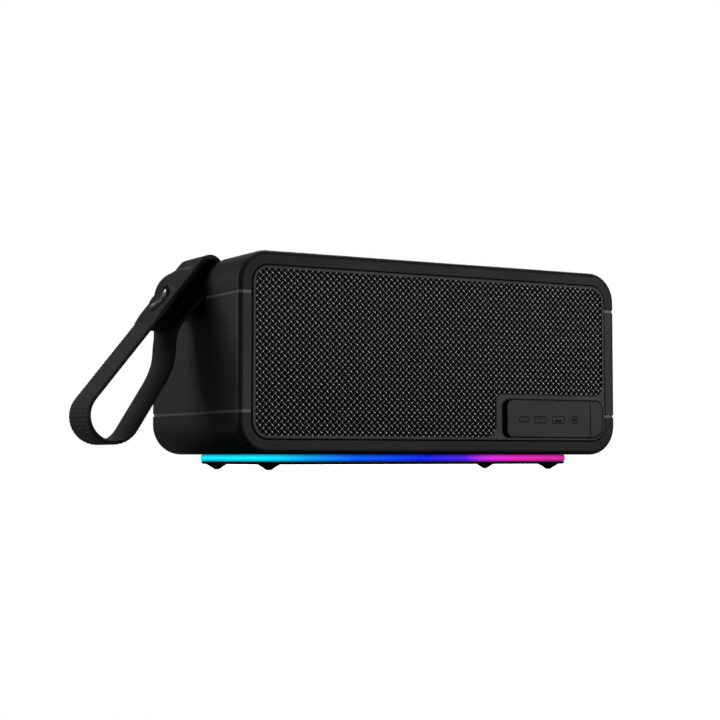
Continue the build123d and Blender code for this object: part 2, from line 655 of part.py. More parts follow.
def key(index):
    """One top key: a domed cap, a flange under the shell and a stem above its switch."""
    x = key_x(index)
    cap_top = TOP_Z + 0.2
    flange_top = TOP_Z - WALL - 0.1
    cap = rod_z(KEY_R, x, 0, flange_top - 0.5, cap_top)
    cap = fillet(cap.faces().sort_by(Axis.Z)[-1].edges(), 0.6)
    flange = rod_z(KEY_R + 1.2, x, 0, flange_top - 1.0, flange_top)
    switch_top = KEY_BOARD_Z + KEY_BOARD_T + SWITCH_H
    return cap + flange + rod_z(1.6, x, 0, switch_top + KEY_TRAVEL + 0.1, flange_top - 0.5)


# ---- Base ---------------------------------------------------------------------------------------
SCREW_R = 1.4
GUIDE_Z0, GUIDE_Z1 = FOOT_H + PLATE_T, BODY_Z
PEDESTAL_W, PEDESTAL_D = BASE_W - 7.6, BASE_D - 7.6
STRIP_T, CHIP_T = 0.3, 0.7


def foot_places():
    return [(sx * FOOT_X, sy * FOOT_Y) for sx in (-1, 1) for sy in (-1, 1)]


def base_plate():
    """Black floor plate under the light ring, with a pedestal that stands against the body."""
    plate = rounded_block(BASE_W, BASE_D, BASE_R, FOOT_H, GUIDE_Z0)
    plate = chamfer(plate.faces().sort_by(Axis.Z)[0].edges(), 1.1)
    plate += rounded_block(PEDESTAL_W, PEDESTAL_D, 4.0, GUIDE_Z0 - 0.2, BODY_Z)
    for x, y in foot_places():
        plate -= rod_z(FOOT_R - 0.8, x, y, FOOT_H - 1, FOOT_H + 0.8)
        plate -= rod_z(3.0, x, y, FOOT_H, FOOT_H + 2.6)
        plate -= rod_z(1.6, x, y, FOOT_H, BODY_Z + 1)
    return plate - rod_z(CABLE_HOLE_R, 0, CABLE_HOLE_Y, GUIDE_Z0, BODY_Z + 1)


def light_guide():
    """Frosted ring that carries the light round the base."""
    ring = rounded_block(BASE_W, BASE_D, BASE_R, GUIDE_Z0 + 0.02, GUIDE_Z1 - 0.02)
    inner = rounded_block(
        BASE_W - 2 * GUIDE_WALL, BASE_D - 2 * GUIDE_WALL, BASE_R - GUIDE_WALL, GUIDE_Z0 - 1, GUIDE_Z1 + 1
    )
    return ring - inner


def led_strip():
    """Flexible strip round the pedestal with its light chips facing out."""
    z0, z1 = GUIDE_Z0 + 0.3, GUIDE_Z1 - 0.3
    width, depth = PEDESTAL_W + 0.4, PEDESTAL_D + 0.4
    strip = rounded_block(width + 2 * STRIP_T, depth + 2 * STRIP_T, 4.2 + STRIP_T, z0, z1)
    strip -= rounded_block(width, depth, 4.2, z0 - 1, z1 + 1)
    chips = []
    half_w, half_d = width / 2 + STRIP_T, depth / 2 + STRIP_T
    long_count, short_count, pitch = 11, 4, 15.0
    for i in range(long_count):
        x = (i - (long_count - 1) / 2) * pitch
        for side in (-1, 1):
            y = side * (half_d + CHIP_T / 2)
            chips.append(Pos(x, y, (z0 + z1) / 2) * Box(2.8, CHIP_T, 2.0))
    for i in range(short_count):
        y = (i - (short_count - 1) / 2) * pitch
        for side in (-1, 1):
            x = side * (half_w + CHIP_T / 2)
            chips.append(Pos(x, y, (z0 + z1) / 2) * Box(CHIP_T, 2.8, 2.0))
    return group([strip] + chips)


def feet():
    pads = []
    for x, y in foot_places():
        cone = Pos(x, y, FOOT_H / 2) * Cone(FOOT_TIP_R, FOOT_R, FOOT_H)
        pads.append(cone + rod_z(FOOT_R - 0.9, x, y, FOOT_H - 0.1, FOOT_H + 0.75))
    return group(pads)


def base_screws():
    screws = []
    for x, y in foot_places():
        head = rod_z(2.8, x, y, FOOT_H + 0.8, FOOT_H + 2.6)
        screws.append(head + rod_z(SCREW_R, x, y, FOOT_H + 2.6, BODY_Z + WALL - 0.2))
    return group(screws)


# ---- Strap --------------------------------------------------------------------------------------
def unit(degrees):
    return Vector(math.cos(math.radians(degrees)), math.sin(math.radians(degrees)))


PIVOT, FOLD, LOOP = Vector(PIVOT_X, PIVOT_Z), Vector(FOLD_X, FOLD_Z), Vector(LOOP_X, LOOP_Z)
SPAN = LOOP - FOLD
SPAN_ANGLE = math.degrees(math.atan2(SPAN.Y, SPAN.X)) % 360
OUTER_NORMAL = SPAN_ANGLE - math.degrees(math.acos((FOLD_BEND - LOOP_R) / SPAN.length))
OUTER_START = FOLD + unit(OUTER_NORMAL) * FOLD_BEND
OUTER_END = LOOP + unit(OUTER_NORMAL) * LOOP_R
RISE_HEADING, LEG_HEADING = 58.0, 48.3
RISE_LENGTH, LEG_LENGTH = 26.0, 27.2
OFFSET_STATIONS = [i / 8 for i in range(9)]


def strap_pieces():
    """The strap's centre line, seen from the front: the fold, the outer leg, the loop and the inner leg."""
    foot = LOOP + unit(RISE_HEADING - 90) * LOOP_R
    hip = foot + unit(RISE_HEADING) * RISE_LENGTH
    beside_pin = PIVOT + unit(LEG_HEADING - 90) * PIN_PASS
    knee = beside_pin - unit(LEG_HEADING) * LEG_LENGTH
    sag = [PIVOT + Vector(-19.6, -41.0), PIVOT + Vector(-18.4, -29.5)]
    fold_start = FOLD + Vector(FOLD_BEND, 0)
    turn_r = (fold_start.X - beside_pin.X) / (1 - math.sin(math.radians(LEG_HEADING)))
    turn = beside_pin + unit(LEG_HEADING + 90) * turn_r
    return [
        CenterArc(FOLD, FOLD_BEND, 0, OUTER_NORMAL),
        Line(OUTER_START, OUTER_END),
        CenterArc(LOOP, LOOP_R, OUTER_NORMAL, 270 + RISE_HEADING - OUTER_NORMAL),
        Line(foot, hip),
        Spline(hip, *sag, knee, tangents=[unit(RISE_HEADING), unit(LEG_HEADING)]),
        Line(knee, beside_pin),
        CenterArc(turn, turn_r, LEG_HEADING - 90, 90 - LEG_HEADING),
        Line(turn + Vector(turn_r, 0), fold_start),
    ]


def strap_side(distance):
    """The area inside the strap's centre line after the line has moved out by distance."""
    edges = []
    for piece in strap_pieces():
        points = [piece @ t + (piece % t).rotate(Axis.Z, -90) * distance for t in OFFSET_STATIONS]
        if piece.geom_type == GeomType.LINE:
            edge = Line(points[0], points[-1])
        elif piece.geom_type == GeomType.CIRCLE:
            edge = ThreePointArc(points[0], points[len(points) // 2], points[-1])
        else:
            edge = Spline(*points, tangents=[piece % 0, piece % 1])
        edges.append(edge.edge())
    return make_face(Wire(edges))


def stud_plane():
    """Plane on the strap's outer face at the press stud, facing out of the strap."""
    normal = unit(OUTER_NORMAL)
    centre = OUTER_START + unit(OUTER_NORMAL + 90) * STUD_ALONG + normal * (STRAP_T / 2)
    return Plane(origin=(centre.X, 0, centre.Y), x_dir=(0, 1, 0), z_dir=(normal.X, 0, normal.Y))


def strap_webbing():
    outer = prism_y(strap_side(STRAP_T / 2), -STRAP_W / 2, STRAP_W / 2)
    belt = outer - prism_y(strap_side(-STRAP_T / 2), -STRAP_W, STRAP_W)
    return belt - stud_plane() * Cylinder(SHANK_R, 4 * STRAP_T)


def strap_head():
    """Smooth end piece over the fold and the top of the outer leg, with a boss above the stud's hole."""
    inner_r = FOLD_BEND + STRAP_T / 2
    outer_r = inner_r + HEAD_T
    start = 10.0
    down = unit(OUTER_NORMAL + 90)
    fold = [CenterArc(FOLD, r, start, OUTER_NORMAL - start) for r in (inner_r, outer_r)]
    tops = [FOLD + unit(OUTER_NORMAL) * r for r in (inner_r, outer_r)]
    lines = [Line(top, top + down * HEAD_LENGTH) for top in tops]
    caps = [Line(fold[0] @ 0, fold[1] @ 0), Line(lines[0] @ 1, lines[1] @ 1)]
    face = make_face(Wire([e.edge() for e in [fold[0], lines[0], caps[1], lines[1], fold[1], caps[0]]]))
    head = prism_y(face, -HEAD_W / 2, HEAD_W / 2)
    crown = (tops[1] + down * (BOSS_START + BOSS_END) / 2) + unit(OUTER_NORMAL) * BOSS_RISE
    chord = [tops[1] + down * BOSS_START, tops[1] + down * BOSS_END]
    swell = make_face(Wire([ThreePointArc(chord[0], crown, chord[1]).edge(), Line(chord[1], chord[0]).edge()]))
    head += prism_y(swell, -BOSS_W / 2, BOSS_W / 2)
    return head - stud_plane() * Cylinder(STUD_HOLE_R, 4 * BOSS_RISE)


def press_stud():
    """Press stud: a domed cap outside, a shank through the strap and a plate inside it."""
    dome_r = 24.0
    cap = Pos(0, 0, STUD_RISE / 2) * Cylinder(STUD_R, STUD_RISE)
    cap &= Pos(0, 0, STUD_RISE - dome_r) * Sphere(dome_r)
    shank = Pos(0, 0, -STRAP_T / 2) * Cylinder(SHANK_R - 0.05, STRAP_T)
    plate = Pos(0, 0, -STRAP_T - STUD_PLATE_T / 2) * Cylinder(STUD_PLATE_R, STUD_PLATE_T)
    return stud_plane() * (cap + shank + plate)


def strap_hub():
    """Moulded core that turns on the pin, fills the top of the strap's loop and keeps its two legs apart."""
    core = strap_side(-STRAP_T / 2 - HUB_GAP) & box_sketch(-BODY_W, 0, HUB_FOOT_Z, 2 * TOP_Z)
    hub = prism_y(core, -HUB_HALF_W, HUB_HALF_W)
    hub -= stud_plane() * Cylinder(STUD_PLATE_R + 0.3, 2 * (STRAP_T + STUD_PLATE_T + 0.3))
    return hub - rod_y(PIN_R + 0.05, PIVOT_X, PIVOT_Z, -STRAP_W, STRAP_W)


def strap_pin():
    half = RECESS_HALF_W + RECESS_WALL
    return rod_y(PIN_R, PIVOT_X, PIVOT_Z, -half, half)


# ---- Every node ---------------------------------------------------------------------------------
def all_nodes():
    nodes = {
        "top_shell": top_shell(),
        "bottom_shell": bottom_shell(),
        "left_side_panel": side_panel(-1),
        "right_side_panel": side_panel(1),
        "side_trim_strips": side_trim_strips(),
        "strap_housing": strap_housing(),
        "cabinet": cabinet(),
        "rear_panel": rear_panel(),
        "rear_gasket": rear_gasket(),
        "rear_panel_screws": rear_panel_screws(),
        "grille_frame": grille_frame(),
        "grille_mesh": grille_mesh(),
        "acoustic_cloth": acoustic_cloth(),
        "port_flap": port_flap(),
        "port_flap_anchor": port_flap_anchor(),
        "io_board": io_board(),
        "usb_c_socket": usb_c_socket(),
        "card_slot": card_slot(),
        "usb_a_socket": usb_a_socket(),
        "aux_jack": aux_jack(),
        "woofer_baskets": both(woofer_basket),
        "woofer_gaskets": both(woofer_gasket),
        "woofer_surrounds": both(woofer_surround),
        "woofer_spiders": both(woofer_spider),
        "woofer_top_plates": both(woofer_top_plate),
        "woofer_magnets": both(woofer_magnet),
        "woofer_yokes": both(woofer_yoke),
        "woofer_screws": woofer_screws(),
        "passive_surround": passive_surround(),
        "passive_diaphragm": passive_diaphragm(),
        "passive_weight": passive_weight(),
        "main_board": main_board(),
        "board_components": board_components(),
        "battery_cells": battery_cells(),
        "battery_cradle": battery_cradle(),
        "wiring": wiring(),
        "button_board": button_board(),
        "tact_switches": tact_switches(),
        "base_plate": base_plate(),
        "light_guide": light_guide(),
        "led_strip": led_strip(),
        "feet": feet(),
        "base_screws": base_screws(),
        "strap_webbing": strap_webbing(),
        "strap_head": strap_head(),
        "press_stud": press_stud(),
        "strap_hub": strap_hub(),
        "strap_pin": strap_pin(),
    }
    for side, x in (("left", -WOOFER_X), ("right", WOOFER_X)):
        nodes[f"{side}_cone"] = woofer_cone(x)
        nodes[f"{side}_dust_cap"] = woofer_dust_cap(x)
        nodes[f"{side}_voice_coil"] = woofer_coil(x)
    for i, name in enumerate(KEY_NAMES):
        nodes[f"{name}_button"] = key(i)
    return nodes


os.makedirs("parts", exist_ok=True)
for node_name, shape in all_nodes().items():
    export_step(shape, f"parts/{node_name}.step")
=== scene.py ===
import json
import math

import bpy
import numpy as np
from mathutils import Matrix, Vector


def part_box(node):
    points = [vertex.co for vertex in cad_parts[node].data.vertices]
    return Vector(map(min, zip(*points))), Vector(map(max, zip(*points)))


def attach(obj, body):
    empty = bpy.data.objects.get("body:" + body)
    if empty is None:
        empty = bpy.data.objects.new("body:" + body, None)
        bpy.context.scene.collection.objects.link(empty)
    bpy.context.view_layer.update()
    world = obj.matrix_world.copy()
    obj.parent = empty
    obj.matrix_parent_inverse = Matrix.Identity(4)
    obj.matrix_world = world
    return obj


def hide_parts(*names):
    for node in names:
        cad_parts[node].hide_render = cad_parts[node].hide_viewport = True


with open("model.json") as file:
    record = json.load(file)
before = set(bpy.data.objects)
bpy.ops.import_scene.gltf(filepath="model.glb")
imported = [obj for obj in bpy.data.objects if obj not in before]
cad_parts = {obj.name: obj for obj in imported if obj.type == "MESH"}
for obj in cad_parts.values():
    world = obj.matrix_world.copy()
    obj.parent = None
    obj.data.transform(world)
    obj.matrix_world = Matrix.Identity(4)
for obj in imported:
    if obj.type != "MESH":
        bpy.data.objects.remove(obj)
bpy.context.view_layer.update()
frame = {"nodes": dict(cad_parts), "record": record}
NODES = frame["nodes"]
MM = 0.001


# ---- Shader helpers -----------------------------------------------------------------------------
class Shader:
    """A node material, with short calls for the nodes that every finish here uses."""

    def __init__(self, name):
        self.material = bpy.data.materials.new(name)
        self.material.use_nodes = True
        self.tree = self.material.node_tree
        self.principled = self.tree.nodes["Principled BSDF"]
        self.coords = self.node("ShaderNodeTexCoord").outputs["Object"]

    def node(self, kind, **settings):
        made = self.tree.nodes.new(kind)
        for key, value in settings.items():
            setattr(made, key, value)
        return made

    def link(self, source, target):
        self.tree.links.new(source, target)

    def put(self, target, value):
        if isinstance(value, bpy.types.NodeSocket):
            self.link(value, target)
        else:
            target.default_value = value

    def set(self, **inputs):
        for key, value in inputs.items():
            self.put(self.principled.inputs[key.replace("_", " ")], value)

    def noise(self, scale, detail=3.0, roughness=0.55, stretch=(1, 1, 1)):
        mapping = self.node("ShaderNodeMapping")
        mapping.inputs["Scale"].default_value = stretch
        self.link(self.coords, mapping.inputs["Vector"])
        texture = self.node("ShaderNodeTexNoise")
        self.link(mapping.outputs["Vector"], texture.inputs["Vector"])
        texture.inputs["Scale"].default_value = scale
        texture.inputs["Detail"].default_value = detail
        texture.inputs["Roughness"].default_value = roughness
        return texture.outputs["Fac"]

    def cells(self, scale):
        texture = self.node("ShaderNodeTexVoronoi")
        self.link(self.coords, texture.inputs["Vector"])
        texture.inputs["Scale"].default_value = scale
        return texture.outputs["Distance"]

    def ramp(self, factor, low, high, start=0.0, end=1.0):
        """A colour or value that runs from low to high while factor runs from start to end."""
        span = self.node("ShaderNodeMapRange")
        self.put(span.inputs["Value"], factor)
        span.inputs["From Min"].default_value = start
        span.inputs["From Max"].default_value = end
        if isinstance(low, (int, float)):
            span.inputs["To Min"].default_value = low
            span.inputs["To Max"].default_value = high
            return span.outputs["Result"]
        mix = self.node("ShaderNodeMix", data_type="RGBA")
        self.link(span.outputs["Result"], mix.inputs["Factor"])
        mix.inputs["A"].default_value = (*low, 1)
        mix.inputs["B"].default_value = (*high, 1)
        return mix.outputs["Result"]

    def mix(self, factor, a, b):
        mix = self.node("ShaderNodeMix", data_type="RGBA")
        self.put(mix.inputs["Factor"], factor)
        self.put(mix.inputs["A"], a if isinstance(a, bpy.types.NodeSocket) else (*a, 1))
        self.put(mix.inputs["B"], b if isinstance(b, bpy.types.NodeSocket) else (*b, 1))
        return mix.outputs["Result"]

    def math(self, operation, a, b=0.0):
        made = self.node("ShaderNodeMath", operation=operation)
        self.put(made.inputs[0], a)
        self.put(made.inputs[1], b)
        return made.outputs["Value"]

    def split(self):
        """The X, Y and Z of the shaded point, in the piece's own space."""
        parts = self.node("ShaderNodeSeparateXYZ")
        self.link(self.coords, parts.inputs[0])
        return parts.outputs

    def bump(self, height, strength, distance, edge_radius=0.0):
        """Relief from a height, over normals rounded at the edges if an edge radius is given."""
        bump = self.node("ShaderNodeBump")
        bump.inputs["Strength"].default_value = strength
        bump.inputs["Distance"].default_value = distance
        self.link(height, bump.inputs["Height"])
        if edge_radius:
            bevel = self.node("ShaderNodeBevel", samples=4)
            bevel.inputs["Radius"].default_value = edge_radius
            self.link(bevel.outputs["Normal"], bump.inputs["Normal"])
        self.link(bump.outputs["Normal"], self.principled.inputs["Normal"])


# ---- Finishes -----------------------------------------------------------------------------------
# Noise scales are waves per metre, and two colours or roughnesses are the ends of a mottled range.
def moulded(name, dark, light, rough, grain=2600, edge=0.0, specular=0.45):
    """Moulded plastic or rubber: fine spark-eroded grain, faint mottling, and softened edges if asked."""
    s = Shader(name)
    s.set(Base_Color=s.ramp(s.noise(28, detail=5), dark, light, 0.3, 0.7))
    smudge = s.noise(11, detail=4, roughness=0.7)
    s.set(Roughness=s.ramp(smudge, rough[0], rough[1], 0.3, 0.72))
    s.set(**{"Specular IOR Level": specular})
    height = s.math("ADD", s.noise(grain, detail=2), s.math("MULTIPLY", s.cells(grain * 0.6), 0.6))
    s.bump(height, 0.22, 0.05 * MM, edge)
    return s.material


def metal(name, dark, light, rough, metallic=1.0, stretch=(1, 1, 1)):
    """Metal or enamel with fine scratches, drawn out along an axis if stretched."""
    s = Shader(name)
    brushed = s.noise(900, detail=4, stretch=stretch)
    s.set(Base_Color=s.ramp(brushed, dark, light, 0.3, 0.7), Metallic=metallic)
    s.set(Roughness=s.ramp(s.noise(60, detail=4), rough[0], rough[1], 0.3, 0.7))
    s.bump(brushed, 0.15, 0.03 * MM)
    return s.material


# How far the wires' crests stand out from the sheet's front, and how far behind them the painted shade is
# darkest.
WEAVE_CREST, WEAVE_SHADE_DEPTH = 0.65 * MM, 0.72 * MM


def painted_shade_wire(name, crest, depth):
    """Satin wire coating with painted light by depth: lighter on the crests at Y = crest, and painted shade
    darkening the recesses behind them.
    """
    s = Shader(name)
    grain = s.noise(900, detail=4)
    level = s.math("ADD", s.split()["Y"], s.math("MULTIPLY", grain, 0.12 * MM))
    # Painted light and shade: the crests are painted lighter and the recesses behind them painted darker.
    colour = s.ramp(level, (0.55, 0.55, 0.556), (0.09, 0.09, 0.091), crest + 0.05 * MM, crest + depth)
    s.set(Base_Color=colour, Metallic=0.9)
    s.set(Roughness=s.ramp(s.noise(60, detail=4), 0.18, 0.28, 0.3, 0.7))
    s.bump(grain, 0.15, 0.03 * MM)
    return s.material


def fabric(name, dark, light, pitch, rough=0.85):
    """Plain woven cloth with threads along the object's X and Z."""
    s = Shader(name)
    place = s.split()
    warp = s.math("SINE", s.math("MULTIPLY", place["X"], 2 * math.pi / pitch))
    weft = s.math("SINE", s.math("MULTIPLY", place["Z"], 2 * math.pi / pitch))
    weave = s.math("MULTIPLY", warp, weft)
    s.set(Base_Color=s.ramp(s.math("ADD", weave, s.noise(400)), dark, light, -0.5, 1.5), Roughness=rough)
    s.bump(weave, 0.5, 0.1 * MM)
    return s.material


def yarn(name, dark, light):
    """Spun polyester: fibres along the strap, uneven dye and a soft sheen."""
    s = Shader(name)
    fibres = s.noise(2200, detail=4, stretch=(1, 0.16, 1))
    twist = s.noise(700, detail=3)
    tone = s.math("ADD", fibres, s.math("MULTIPLY", twist, 0.5))
    s.set(Base_Color=s.ramp(tone, dark, light, 0.45, 1.0), Roughness=s.ramp(twist, 0.55, 0.8, 0.3, 0.7))
    s.set(**{"Sheen Weight": 0.12, "Sheen Roughness": 0.4, "Specular IOR Level": 0.3})
    s.bump(tone, 0.55, 0.12 * MM)
    return s.material


CYAN, AZURE, COBALT = (0.003, 0.70, 0.92), (0.002, 0.30, 0.83), (0.001, 0.09, 0.80)
BLUE, VIOLET, MAGENTA = (0.002, 0.015, 0.76), (0.07, 0.013, 0.70), (0.62, 0.02, 0.72)
PINK, ROSE = (0.72, 0.018, 0.43), (0.56, 0.018, 0.30)
# Share of the way along the ring, from left to right, and the colour there.
LIGHT_COLOURS = (
    (0.0, CYAN), (0.13, AZURE), (0.27, COBALT), (0.5, BLUE),
    (0.63, VIOLET), (0.71, MAGENTA), (0.8, PINK), (1.0, ROSE),
)


def lit_guide(name, node):
    """Frosted light guide: colours run along the ring, brightest at mid height."""
    s = Shader(name)
    low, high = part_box(node)
    place = s.split()
    along = s.ramp(place["X"], 0.0, 1.0, low.x, high.x)
    ramp = s.node("ShaderNodeValToRGB")
    s.link(along, ramp.inputs["Fac"])
    stops = ramp.color_ramp.elements
    stops.remove(stops[1])
    for position, colour in LIGHT_COLOURS:
        stops.new(position).color = (*colour, 1)
    stops.remove(stops[0])
    middle = (low.z + high.z) / 2
    off_middle = s.math("ABSOLUTE", s.math("SUBTRACT", place["Z"], middle))
    glow = s.ramp(off_middle, 1.25, 0.42, 0.25 * MM, (high.z - low.z) / 2)
    speckle = s.ramp(s.noise(1800), 0.96, 1.04, 0.3, 0.7)
    s.set(Base_Color=(0.01, 0.01, 0.012, 1), Roughness=0.5)
    s.set(**{"Specular IOR Level": 0.1})
    s.set(**{"Emission Color": ramp.outputs["Color"], "Emission Strength": s.math("MULTIPLY", glow, speckle)})
    s.bump(s.noise(2400), 0.2, 0.04 * MM)
    return s.material


def printed_board(name):
    """Green solder mask over faint copper tracks."""
    s = Shader(name)
    tracks = s.ramp(s.noise(160, detail=0, stretch=(1, 0.25, 1)), 0.0, 1.0, 0.49, 0.51)
    s.set(Base_Color=s.mix(tracks, (0.006, 0.06, 0.025), (0.012, 0.11, 0.045)), Roughness=0.35)
    s.bump(tracks, 0.3, 0.05 * MM)
    return s.material


FINISHES = {
    "shell": moulded(
        "soft_touch_shell", (0.011, 0.011, 0.0113), (0.015, 0.015, 0.0154), (0.46, 0.58),
        edge=0.5 * MM, specular=0.36,
    ),
    "side_panel": moulded(
        "side_plastic", (0.011, 0.011, 0.0113), (0.016, 0.016, 0.0164), (0.42, 0.54), edge=0.5 * MM
    ),
    "trim": moulded("trim_plastic", (0.15, 0.15, 0.153), (0.21, 0.21, 0.213), (0.3, 0.42)),
    "inner_plastic": moulded("inner_plastic", (0.008, 0.008, 0.008), (0.014, 0.014, 0.014), (0.5, 0.65)),
    "frame": moulded(
        "frame_plastic", (0.011, 0.011, 0.0114), (0.015, 0.015, 0.0154), (0.38, 0.48), edge=0.3 * MM
    ),
    "flap": moulded(
        "flap_rubber", (0.012, 0.012, 0.0125), (0.017, 0.017, 0.0175), (0.42, 0.52), grain=3200, edge=0.3 * MM
    ),
    "mesh": painted_shade_wire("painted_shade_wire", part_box("grille_mesh")[0].y - WEAVE_CREST, WEAVE_SHADE_DEPTH),
    "cloth": fabric("acoustic_cloth", (0.001, 0.001, 0.001), (0.004, 0.004, 0.004), 0.5 * MM),
    "base": moulded("base_plastic", (0.012, 0.012, 0.012), (0.02, 0.02, 0.02), (0.5, 0.65), edge=0.3 * MM),
    "light_guide": lit_guide("lit_guide", "light_guide"),
    "led_strip": moulded("led_strip", (0.5, 0.5, 0.45), (0.7, 0.7, 0.62), (0.3, 0.5)),
    "rubber": moulded("black_rubber", (0.004, 0.004, 0.004), (0.008, 0.008, 0.008), (0.6, 0.8), grain=1800),
    "screws": metal("black_screws", (0.02, 0.02, 0.021), (0.05, 0.05, 0.052), (0.3, 0.45)),
    "steel": metal("plated_steel", (0.35, 0.35, 0.36), (0.5, 0.5, 0.52), (0.2, 0.35), stretch=(8, 1, 1)),
    "magnet": metal("ferrite", (0.02, 0.02, 0.022), (0.05, 0.05, 0.055), (0.6, 0.75), metallic=0.2),
    "basket": metal("stamped_basket", (0.015, 0.015, 0.016), (0.03, 0.03, 0.03), (0.4, 0.55), metallic=0.4),
    "cone": moulded("cone_pulp", (0.01, 0.01, 0.011), (0.03, 0.03, 0.032), (0.5, 0.7), grain=900),
    "spider": fabric("centring_cloth", (0.2, 0.1, 0.03), (0.45, 0.26, 0.09), 0.8 * MM),
    "coil": metal("coil_wire", (0.5, 0.2, 0.08), (0.7, 0.32, 0.14), (0.25, 0.4), stretch=(1, 30, 1)),
    "diaphragm": metal(
        "passive_plate", (0.03, 0.03, 0.032), (0.06, 0.06, 0.063), (0.3, 0.42),
        metallic=0.7, stretch=(0.05, 1, 1),
    ),
    "board": printed_board("solder_mask"),
    "chips": moulded("moulded_chips", (0.01, 0.01, 0.01), (0.03, 0.03, 0.032), (0.35, 0.5)),
    "connector": metal("plated_socket", (0.5, 0.5, 0.5), (0.65, 0.65, 0.66), (0.2, 0.32)),
    "connector_plastic": moulded("socket_plastic", (0.006, 0.006, 0.006), (0.01, 0.01, 0.01), (0.4, 0.55)),
    "cell": moulded("cell_wrap", (0.01, 0.05, 0.18), (0.02, 0.09, 0.3), (0.2, 0.3)),
    "wire": moulded("wire_sleeve", (0.2, 0.01, 0.01), (0.35, 0.02, 0.015), (0.4, 0.55)),
    "webbing": yarn("webbing_yarn", (0.010, 0.010, 0.0102), (0.030, 0.030, 0.031)),
    "strap_head": moulded(
        "strap_head_rubber", (0.011, 0.011, 0.0113), (0.015, 0.015, 0.0153), (0.52, 0.64), grain=3600
    ),
    # Near-black rubber, darker than the other black parts. Its own black is deepened with painted shade so
    # the pockets by the strap's fold and the stud's seat read black. The port marks are printed in it too.
    "core": moulded(
        "core_rubber_painted_shade", (0.0015, 0.0015, 0.0015), (0.003, 0.003, 0.003), (0.7, 0.85), specular=0.12
    ),
    "stud": metal("stud_enamel", (0.012, 0.012, 0.0122), (0.020, 0.020, 0.0204), (0.32, 0.42), metallic=0.3),
    "key": moulded(
        "key_rubber", (0.010, 0.010, 0.0105), (0.015, 0.015, 0.0155), (0.42, 0.55), grain=3200, edge=0.3 * MM
    ),
}
SLOT_OF = {part["node"]: part["material_slot"] for part in frame["record"]["subparts"]}
for node_name, node in NODES.items():
    node.data.materials.clear()
    node.data.materials.append(FINISHES[SLOT_OF[node_name]])


# ---- Mesh helpers -------------------------------------------------------------------------------
LATHE_SIDES = 72
# Signs in X and Y of a rectangle's corners, anticlockwise, with the angle at which each one's arc starts.
CORNERS = ((1, 1, 0), (-1, 1, 90), (-1, -1, 180), (1, -1, 270))


def add_mesh(name, points, faces, slot, body, smooth=True):
    mesh = bpy.data.meshes.new(name)
    mesh.from_pydata([tuple(p) for p in points], [], [tuple(f) for f in faces])
    mesh.materials.append(FINISHES[slot])
    mesh.polygons.foreach_set("use_smooth", [smooth] * len(mesh.polygons))
    mesh.update()
    piece = bpy.data.objects.new(name, mesh)
    bpy.context.scene.collection.objects.link(piece)
    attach(piece, body)
    return piece


def outline_links(node_name, level):
    """Place of each corner of the node, and its neighbours along the edge of the flat faces at y = level."""
    mesh = NODES[node_name].data
    keys = [tuple(round(c * 1e7) for c in v.co) for v in mesh.vertices]
    place = {}
    for key, vertex in zip(keys, mesh.vertices):
        place.setdefault(key, vertex.co.copy())
    seen = {}
    for polygon in mesh.polygons:
        corners = [keys[i] for i in polygon.vertices]
        if all(abs(place[c].y - level) < 1e-6 for c in corners):
            for a, b in zip(corners, corners[1:] + corners[:1]):
                seen[frozenset((a, b))] = seen.get(frozenset((a, b)), 0) + 1
    neighbours = {}
    for pair, count in seen.items():
        if count == 1:
            a, b = tuple(pair)
            neighbours.setdefault(a, []).append(b)
            neighbours.setdefault(b, []).append(a)
    return place, neighbours


def edge_loops(node_name, level):
    """Closed outlines, in X and Z, of the node's flat faces that lie at y = level, longest first."""
    place, neighbours = outline_links(node_name, level)
    loops = []
    while neighbours:
        start = next(iter(neighbours))
        loop, here, last = [start], start, None
        while True:
            ahead = [n for n in neighbours[here] if n != last]
            last, here = here, ahead[0]
            if here == start:
                break
            loop.append(here)
        for key in loop:
            neighbours.pop(key)
        loops.append(np.array([(place[k].x, place[k].z) for k in loop]))
    return sorted(loops, key=lambda l: -np.linalg.norm(l - np.roll(l, 1, 0), axis=1).sum())


def resample(loop, step):
    """Evenly spaced points round a closed outline."""
    closed = np.vstack([loop, loop[:1]])
    lengths = np.concatenate([[0], np.cumsum(np.linalg.norm(np.diff(closed, axis=0), axis=1))])
    count = max(8, round(lengths[-1] / step))
    stations = np.arange(count) * lengths[-1] / count
    return np.column_stack([np.interp(stations, lengths, closed[:, k]) for k in (0, 1)])


def inside(points, outline):
    """True for each point within the closed outline."""
    result = np.zeros(len(points), bool)
    for a, b in zip(outline, np.roll(outline, -1, 0)):
        crosses = (a[1] > points[:, 1]) != (b[1] > points[:, 1])
        with np.errstate(divide="ignore", invalid="ignore"):
            at = (b[0] - a[0]) * (points[:, 1] - a[1]) / (b[1] - a[1]) + a[0]
        result ^= crosses & (points[:, 0] < at)
    return result


# ---- Woven grille -------------------------------------------------------------------------------
WIRE_PITCH = 2.4 * MM
WIRE_SIDES, WIRE_STEPS = 10, 6
WEAVE_BACK = 0.1 * MM
# Direction in X and Z, direction of the next wire, half width, half thickness, wave height, starting phase.
WEAVE = (
    ((1, 1), (-1, 1), 0.40 * MM, 0.42 * MM, 0.33 * MM, 1),
    ((-1, 1), (1, 1), 0.50 * MM, 0.34 * MM, 0.24 * MM, -1),
)


def wire_runs(line, outline):
    """First and last station of each stretch of a wire that lies within the outline."""
    held = inside(line, outline)
    held = held | np.roll(held, 1) | np.roll(held, -1)
    edges = np.flatnonzero(np.diff(np.concatenate([[0], held.astype(int), [0]])))
    return [(first, last) for first, last in zip(edges[::2], edges[1::2]) if last - first > 2]


def wire_path(line, stations, level, swing, along):
    """Centre points of a waving wire, and its outward directions."""
    phase = math.pi * stations / WIRE_PITCH
    wave = level - swing * np.cos(phase)
    slope = swing * math.pi / WIRE_PITCH * np.sin(phase)
    lean = 1 / np.hypot(1, slope)
    up = np.column_stack([-slope * lean * along[0], lean, -slope * lean * along[1]])
    return np.column_stack([line[:, 0], wave, line[:, 1]]), up


